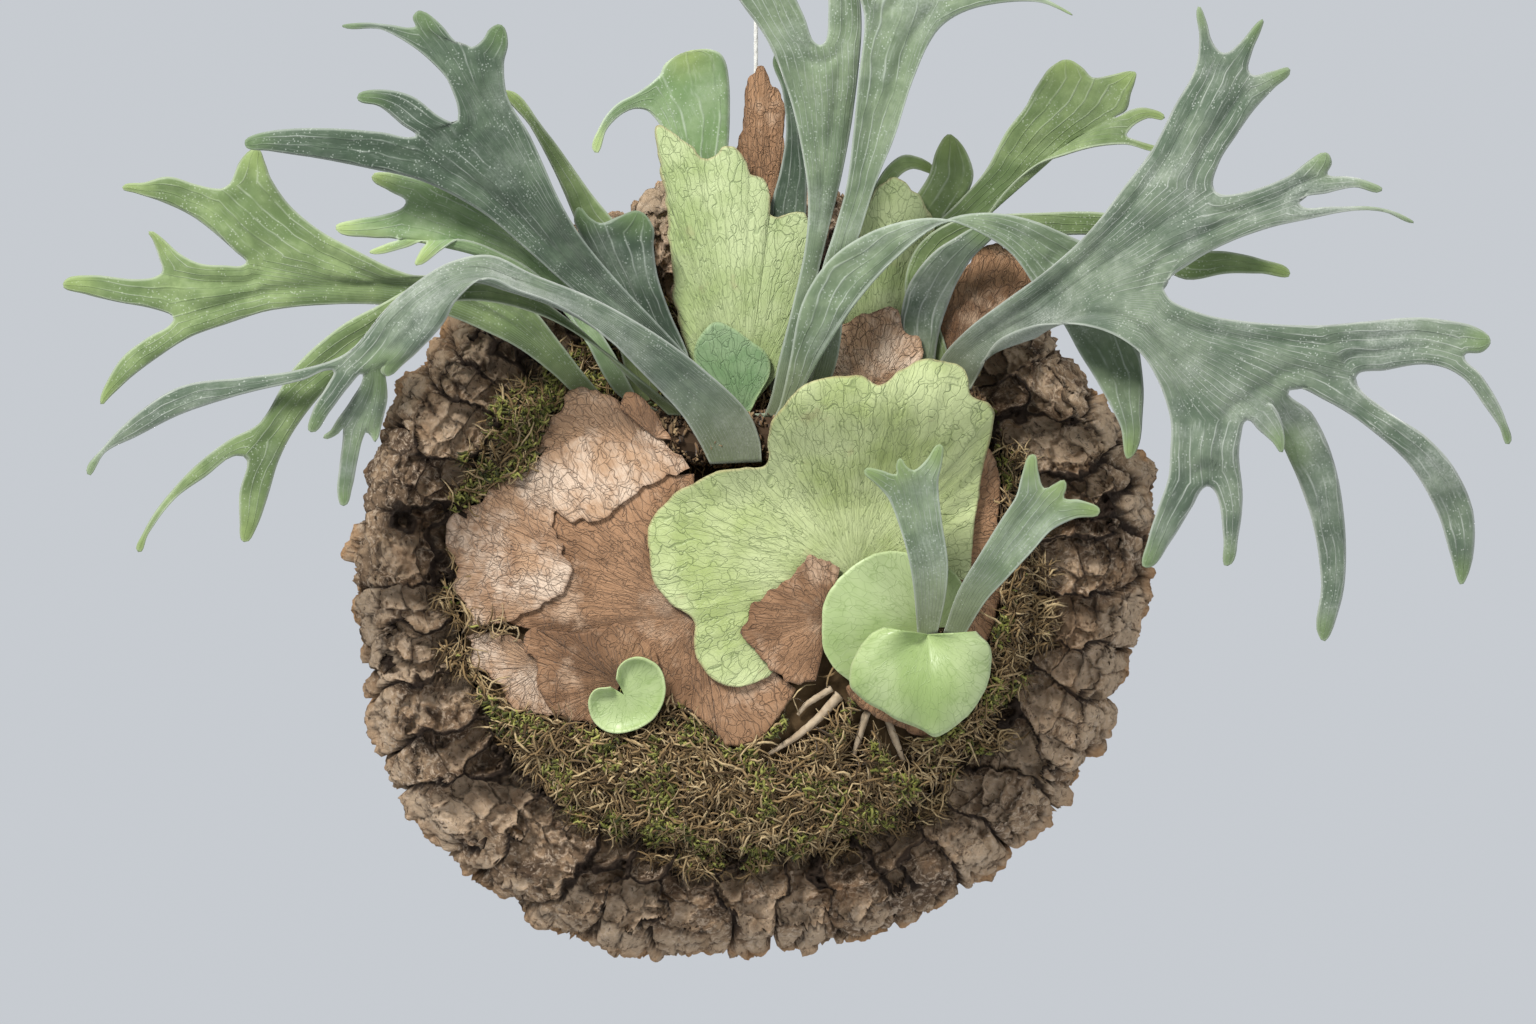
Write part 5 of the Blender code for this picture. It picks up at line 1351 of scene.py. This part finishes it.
def build_bark():
    a_grid, radius, depth, painted_fissure_shade, tone = bark_slab()
    across, up = radius * np.cos(a_grid), radius * np.sin(a_grid) - SLAB_DROP
    points = np.stack([across, up, depth], axis=2).reshape(-1, 3)
    faces = tube_faces(*a_grid.shape, caps=False)
    obj = add_piece("cork_bark", place_all(points), faces, "bark", ("cork_bark_slab",))
    inner = (1.0 - step(depth, 10.0, 38.0)) * step(tone, 0.3, 0.6)
    inner = np.maximum(inner, 1.0 - step(depth, 2.0, 9.0))
    # the crack attribute carries the painted shade of the fissures
    set_values(obj, "crack", painted_fissure_shade.ravel())
    set_values(obj, "tone", tone.ravel())
    set_values(obj, "inner_cork", inner.ravel())
    return obj


# ---------------------------------------------------------------- strands of moss, root and scale

def strands(name, rng, paths, low, high, look, nodes=(), tip_share=0.25, sides=3):
    """Many closed tapering threads as one piece. paths is (count, knots, 3) in layout millimetres."""
    count, knots, _ = paths.shape
    radii = thread_radii(rng, count, knots, low, high, tip_share)
    tones = np.array([rng.random() for _ in paths])
    world = place_all(paths.reshape(-1, 3)).reshape(count, knots, 3)
    ahead = unit(np.gradient(world, axis=1))
    side = unit(np.cross(ahead, np.array([0.21, 0.93, 0.31])))
    up = np.cross(side, ahead)
    rings = []
    for j in range(sides):
        turn = 2 * math.pi * j / sides
        rings.append(world + (side * math.cos(turn) + up * math.sin(turn)) * radii[:, :, None] * MM)
    verts = np.stack(rings, axis=2).reshape(-1, 3)
    faces = []
    for s in range(count):
        faces += tube_faces(knots, sides, s * knots * sides)
    obj = add_piece(name, verts, faces, look, nodes)
    set_values(obj, "tone", np.repeat(tones, knots * sides))
    return obj


def inside(x, z, polygon):
    hit = False
    for (ax, az), (bx, bz) in zip(polygon, polygon[1:] + polygon[:1]):
        if (az > z) != (bz > z) and x < (bx - ax) * (z - az) / (bz - az) + ax:
            hit = not hit
    return hit


def covered(x, z, polygons):
    return any(inside(x, z, polygon) for polygon in polygons)


def shield_polygons():
    polygons = []
    for _name, root, outline, *_rest in SHIELDS[:8] + SHIELDS[14:18]:
        polygons.append([tuple(root)] + [tuple(p) for p in curve_through(outline, steps=4)])
    polygons.append([tuple(p) for p in curve_through(CRACKED_OUTER, steps=4)] + [(-40, 0), (-20, 40)])
    return polygons


def bed_share(x, z):
    return math.hypot(x / BED_HALF_WIDTH, (z + 5.0) / BED_HALF_HEIGHT)


def ground(x, z):
    """Height of what the moss lies on: the bed, or the bark beyond it."""
    share = bed_share(x, z)
    clump = 1.0 + 1.6 * noise.noise(Vector((x / 15.0, z / 15.0, 8.0)))
    heap = 2.6 * clump * smooth(share, 0.5, 0.8) * (1.0 - smooth(share, 0.98, 1.1))
    return heap + (bed_height(x, z) if share < 1.0 else 46.0 - (share - 1.0) * 18.0)


def root_line_points():
    """Points along the pup's roots, in the layout plane."""
    return [(p.x, p.y) for _name, line, _radii in ROOTS for p in curve_through([q[:2] for q in line],
        steps=3)]


def moss_paths(rng, count, low, high, lift, spread, polygons, where, knots=6):
    """Threads that lie on the bed wherever no shield frond covers it."""
    paths = []
    tries = 0
    bare = root_line_points()
    while len(paths) < count and tries < count * 60:
        tries += 1
        angle = rng.uniform(0, 2 * math.pi)
        share = math.sqrt(rng.uniform(0.2, 1.2))
        x = BED_HALF_WIDTH * share * math.cos(angle)
        z = BED_HALF_HEIGHT * share * math.sin(angle) - 5.0
        ragged_rim = 1.05 + 0.16 * noise.noise(Vector((x / 13.0, z / 13.0, 1.0)))
        if bed_share(x, z) > ragged_rim or covered(x, z, polygons) or not where(x, z, rng):
            continue
        if min(math.hypot(x - rx, z - rz) for rx, rz in bare) < ROOT_CLEARANCE:
            continue
        way = angle + math.pi / 2 + rng.gauss(0.0, spread)
        length = rng.uniform(low, high)
        bend = rng.gauss(0.0, 0.5)
        rise = rng.uniform(0.4, 1.0) * lift
        base = rng.uniform(-0.8, 0.6 * lift)
        path = []
        for k in range(knots):
            t = k / (knots - 1)
            turn = way + bend * (t - 0.5) * 2
            px = x + math.cos(turn) * length * (t - 0.5)
            pz = z + math.sin(turn) * length * (t - 0.5)
            px += rng.gauss(0.0, 0.5)
            pz += rng.gauss(0.0, 0.5)
            path.append((px, pz,
                ground(px, pz) + base + rise * math.sin(math.pi * t) + rng.gauss(0.0, 0.3)))
        if all(not covered(p[0], p[1], polygons) for p in (path[0], path[-1])) or rng.random() < 0.15:
            paths.append(path)
    return np.array(paths)


def thread_radii(rng, count, knots, low, high, tip_share):
    width = np.array([rng.uniform(low, high) for _ in range(count)])
    t = np.linspace(0.0, 1.0, knots)
    taper = tip_share + (1.0 - tip_share) * np.sin(math.pi * np.clip(t, 0.04, 0.96)) ** 0.7
    return width[:, None] * taper[None, :]


def bed_surface():
    """The bed itself: a lumpy pad under the threads, dark as sphagnum and darker still as painted shade in
    the gaps between the threads.
    """
    across, rings = BED_ACROSS, BED_RINGS
    points = []
    for r in range(rings + 1):
        share = 1.03 - r / rings
        for k in range(across):
            angle = 2 * math.pi * k / across
            x = BED_HALF_WIDTH * max(share, 0.02) * math.cos(angle)
            z = BED_HALF_HEIGHT * max(share, 0.02) * math.sin(angle) - 5.0
            lump = noise.fractal(Vector((x / 9.0, z / 9.0, 4.0)), 1.0, 2.0, 4) * 1.8 - 1.6
            points.append((x, z, bed_height(x, z) + lump if share < 1.0 else 44.5))
    faces = tube_faces(rings + 1, across)
    obj = add_piece("moss_bed_pad", place_all(points), faces, "moss_brown", ("moss_bed",))
    # painted shade: the pad's tone is held low so that the gaps between the threads show dark
    tone = 0.05 + 0.15 * np.abs(value_noise(np.array(points), 8.0, 2, 3))
    set_values(obj, "tone", tone)


def build_moss():
    rng = random.Random(5)
    polygons = shield_polygons()
    bed_surface()

    def anywhere(_x, _z, _rng):
        return True

    def left_or_tuft(x, z, r):
        patch = noise.noise(Vector((x / 17.0, z / 17.0, 3.0)))
        bias = 0.3 if (x < -60 and z > 30) else (-0.02 if z < -75 else -0.2)
        return patch + bias > 0.05 or r.random() < 0.03

    brown = moss_paths(rng, BROWN_THREADS, 7.0, 24.0, 5.5, 1.5, polygons, anywhere)
    strands("moss_brown_threads", rng, brown, 0.28, 0.75, "moss_brown", ("moss_right",))
    green = moss_paths(rng, GREEN_THREADS, 2.5, 8.0, 5.5, 3.0, polygons, left_or_tuft, 5)
    strands("moss_green_tufts", rng, green, 0.4, 0.95, "moss_green", ("moss_left", "moss_lower"))


def stem_scales(name, stem, count, length, node, seed):
    """Brown papery scales all over a rhizome."""
    rng = random.Random(seed)
    paths = []
    for _ in range(count):
        t = rng.random() * (len(stem) - 1)
        at = min(int(t), len(stem) - 2)
        low, high = stem[at], stem[at + 1]
        f = t - at
        x, z, depth, radius = (low[i] + (high[i] - low[i]) * f for i in range(4))
        turn = rng.uniform(0.0, 2 * math.pi)
        lean = rng.gauss(0.0, 1.0)
        path = []
        for k in range(4):
            s = k / 3
            out = radius + 0.1 + s * (2.6 - 0.9 * s)
            swing = turn + lean * s * length / max(radius, 2.0) * 0.5
            path.append((x + (s - 0.5) * length * rng.choice((-1, 1)) * 0.3,
                         z + out * math.sin(swing), depth + out * math.cos(swing)))
        paths.append(path)
    strands(name, rng, np.array(paths), 0.5, 1.5, "scales", (), 0.12)
    stem_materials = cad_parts[node].data.materials
    stem_materials.clear()
    stem_materials.append(material("scales"))


# ---------------------------------------------------------------- roots

def smooth_tube(name, points, radii, look, nodes, knobs, seed=1, sides=12, steps=6):
    """A round thing along (x, z, depth) points with a slightly uneven width."""
    line = []
    for k in range(len(points) - 1):
        for j in range(steps):
            t = j / steps
            a, b = Vector(points[k]), Vector(points[k + 1])
            before = Vector(points[max(k - 1, 0)])
            after = Vector(points[min(k + 2, len(points) - 1)])
            p = 0.5 * (2 * a + (b - before) * t + (2 * before - 5 * a + 4 * b - after) * t * t
                       + (3 * a - before - 3 * b + after) * t ** 3)
            line.append((p, radii[k] + (radii[k + 1] - radii[k]) * t))
    line.append((Vector(points[-1]), radii[-1]))
    centres = place_all([tuple(p) for p, _ in line])
    ahead = unit(np.gradient(centres, axis=0))
    side = unit(np.cross(ahead, np.array([0.13, 0.97, 0.21])))
    up = np.cross(side, ahead)
    verts = []
    for k, (_p, radius) in enumerate(line):
        for j in range(sides):
            turn = 2 * math.pi * j / sides
            wobble = 1.0 + knobs * noise.noise(Vector((k * 0.7, j * 0.9, seed)))
            out = side[k] * math.cos(turn) + up[k] * math.sin(turn)
            verts.append(centres[k] + out * radius * wobble * MM)
    obj = add_piece(name, np.array(verts), tube_faces(len(line), sides), look, nodes)
    set_values(obj, "tone", [0.35 + 0.3 * noise.noise(Vector(v) * 300.0) for v in verts])
    return obj


def build_roots():
    for i, (name, points, radii) in enumerate(ROOTS):
        smooth_tube(name + "_skin", points, radii, "root", (name,), ROOT_KNOBS, i)


# ---------------------------------------------------------------- screw eye and cord

def torus(name, centre, ring, wire, look, nodes, turned=False, twist=0.0):
    """A closed round ring; twist gives its section the three lobes of a laid cord."""
    around, sides = 64, 18
    verts = []
    for k in range(around):
        a = 2 * math.pi * k / around
        out = np.array((0.0, math.cos(a), math.sin(a)) if turned else (math.cos(a), 0.0, math.sin(a)))
        flat = np.array((1.0, 0.0, 0.0) if turned else (0.0, 1.0, 0.0))
        for j in range(sides):
            b = 2 * math.pi * j / sides
            w = wire * (1.0 - 0.14 * (1.0 - abs(math.cos(1.5 * (b + twist * a))))) if twist else wire
            verts.append(np.array(centre) + (out * (ring + w * math.cos(b)) + flat * w * math.sin(b)) * MM)
    return add_piece(name, np.array(verts), ring_faces(around, sides), look, nodes)


def laid_cord(name, bottom, top, nodes):
    """The straight taut cord, laid of three plies."""
    sides, rows = 24, 150
    low, high = on_cord(bottom), on_cord(top)
    verts = []
    for k in range(rows + 1):
        p = low.lerp(high, k / rows)
        spin = 2 * math.pi * (top - bottom) * PLY_TURNS_PER_MM * k / rows / 3
        for j in range(sides):
            b = 2 * math.pi * j / sides
            w = CORD_RADIUS * (1.0 - 0.16 * (1.0 - abs(math.cos(1.5 * (b - spin)))))
            verts.append((p.x + w * MM * math.cos(b), p.y + w * MM * math.sin(b), p.z))
    obj = add_piece(name, np.array(verts), tube_faces(rows + 1, sides), "cord", nodes)
    path = [tuple(low.lerp(high, k / 12)) for k in range(13)]
    return obj, path


def knot(name, z):
    """An overhand knot: a thick cord wound round on itself."""
    centre = on_cord(z)
    points = []
    for k in range(60):
        t = 2 * math.pi * k / 60
        x = (math.sin(t) + 2 * math.sin(2 * t)) * 0.75
        w = (math.cos(t) - 2 * math.cos(2 * t)) * 0.75
        y = -math.sin(3 * t)
        points.append(np.array(centre) + np.array((x, y, w)) * MM)
    points = np.array(points)
    sides = 12
    count = len(points)
    ahead = unit(np.roll(points, -1, axis=0) - np.roll(points, 1, axis=0))
    side = unit(np.cross(ahead, points - np.array(centre)))
    up = np.cross(side, ahead)
    verts = []
    for k in range(count):
        for j in range(sides):
            b = 2 * math.pi * j / sides
            verts.append(points[k] + (side[k] * math.cos(b) + up[k] * math.sin(b)) * 0.95 * MM)
    return add_piece(name, np.array(verts), ring_faces(count, sides), "cord")


def on_cord(z):
    """The point of the cord's line at height z."""
    return place(CORD_X, z, CORD_DEPTH)


def build_hanging():
    torus("screw_eye_ring", on_cord(EYE_Z), EYE_RING_RADIUS, EYE_WIRE_RADIUS, "steel", ("hanging_eye",))
    shank = [(CORD_X, z, CORD_DEPTH) for z in (188.0, 196.0, EYE_Z - 5.4)]
    smooth_tube("screw_eye_shank", shank, (1.0, 1.4, 1.4), "steel", (), 0.0)
    low = EYE_Z + 11.5
    torus("cord_eye_loop", on_cord(EYE_Z + 6.0), LOW_LOOP_RADIUS, CORD_RADIUS, "cord", ("cord_lower_loop",),
          True, 6.0)
    lower = knot("cord_lower_knot", low)
    upper = knot("cord_upper_knot", CORD_TOP_Z + KNOT_HALF_HEIGHT)
    loop = torus("cord_hanging_loop", on_cord(CORD_TOP_Z + 13.0), TOP_LOOP_RADIUS, CORD_RADIUS, "cord",
                 ("cord_top_loop",), False, 12.0)
    bottom, top = low + KNOT_HALF_HEIGHT + GAP, CORD_TOP_Z - GAP
    cord, path = laid_cord("hanging_cord_laid", bottom, top, ("hanging_cord",))


# ---------------------------------------------------------------- stage, light and camera

def aim_at(obj, place_m, aim_m):
    obj.location = place_m
    obj.rotation_mode = "QUATERNION"
    obj.rotation_quaternion = (Vector(aim_m) - Vector(place_m)).to_track_quat("-Z", "Y")


def build_camera():
    data = bpy.data.cameras.new("camera")
    data.sensor_width = FILM_WIDTH
    data.lens = LENS
    data.clip_start = CLIP_NEAR
    data.clip_end = CLIP_FAR
    camera = linked("camera", data)
    aim_at(camera, EYE * MM, CAMERA_AIM)
    bpy.context.scene.camera = camera


def soft_light(name, place_m, size, power, colour):
    data = bpy.data.lights.new(name, "AREA")
    data.shape = "DISK"
    data.size = size
    data.energy = power
    data.color = colour
    aim_at(linked(name, data), place_m, (0.0, 0.0, 0.0))


def build_stage():
    s = Shade("pale_floor")
    grain = s.noise(3.0, 2.0)
    s.colour = s.mix(s.ramp(grain, 0.3, 0.7), (0.955, 0.96, 0.97), (0.965, 0.97, 0.98))
    floor_material = s.finish(1.0, specular=0.0)
    mesh = bpy.data.meshes.new("floor")
    turns = [2 * math.pi * k / FLOOR_SIDES for k in range(FLOOR_SIDES)]
    rim = [(FLOOR_RADIUS * math.cos(a), FLOOR_RADIUS * math.sin(a), FLOOR_Z) for a in turns]
    mesh.from_pydata(rim, [], [tuple(range(FLOOR_SIDES))])
    mesh.materials.append(floor_material)
    linked("floor", mesh)
    world = bpy.data.worlds.new("studio")
    world.use_nodes = True
    background = world.node_tree.nodes["Background"]
    background.inputs["Color"].default_value = BACKDROP_COLOUR
    seen = world.node_tree.nodes.new("ShaderNodeLightPath").outputs["Is Camera Ray"]
    strength = world.node_tree.nodes.new("ShaderNodeMapRange")
    strength.inputs["To Min"].default_value = AMBIENT
    strength.inputs["To Max"].default_value = BACKDROP
    world.node_tree.links.new(seen, strength.inputs["Value"])
    world.node_tree.links.new(strength.outputs["Result"], background.inputs["Strength"])
    bpy.context.scene.world = world
    bpy.context.scene.view_settings.view_transform = "Standard"
    for lamp in LAMPS:
        soft_light(*lamp)


def main():
    build_camera()
    build_hanging()
    build_stage()
    for seed, (outline, look, cup, wave) in enumerate(FRONDS):
        frond(outline, look, cup, wave, seed + 1)
    build_shields()
    build_bark()
    build_moss()
    stem_scales("rhizome_scales_all", RHIZOME, RHIZOME_SCALES, 7.0, "rhizome", 3)
    stem_scales("pup_rhizome_scales", PUP_RHIZOME, PUP_SCALES, 4.0, "pup_rhizome", 4)
    build_roots()


main()
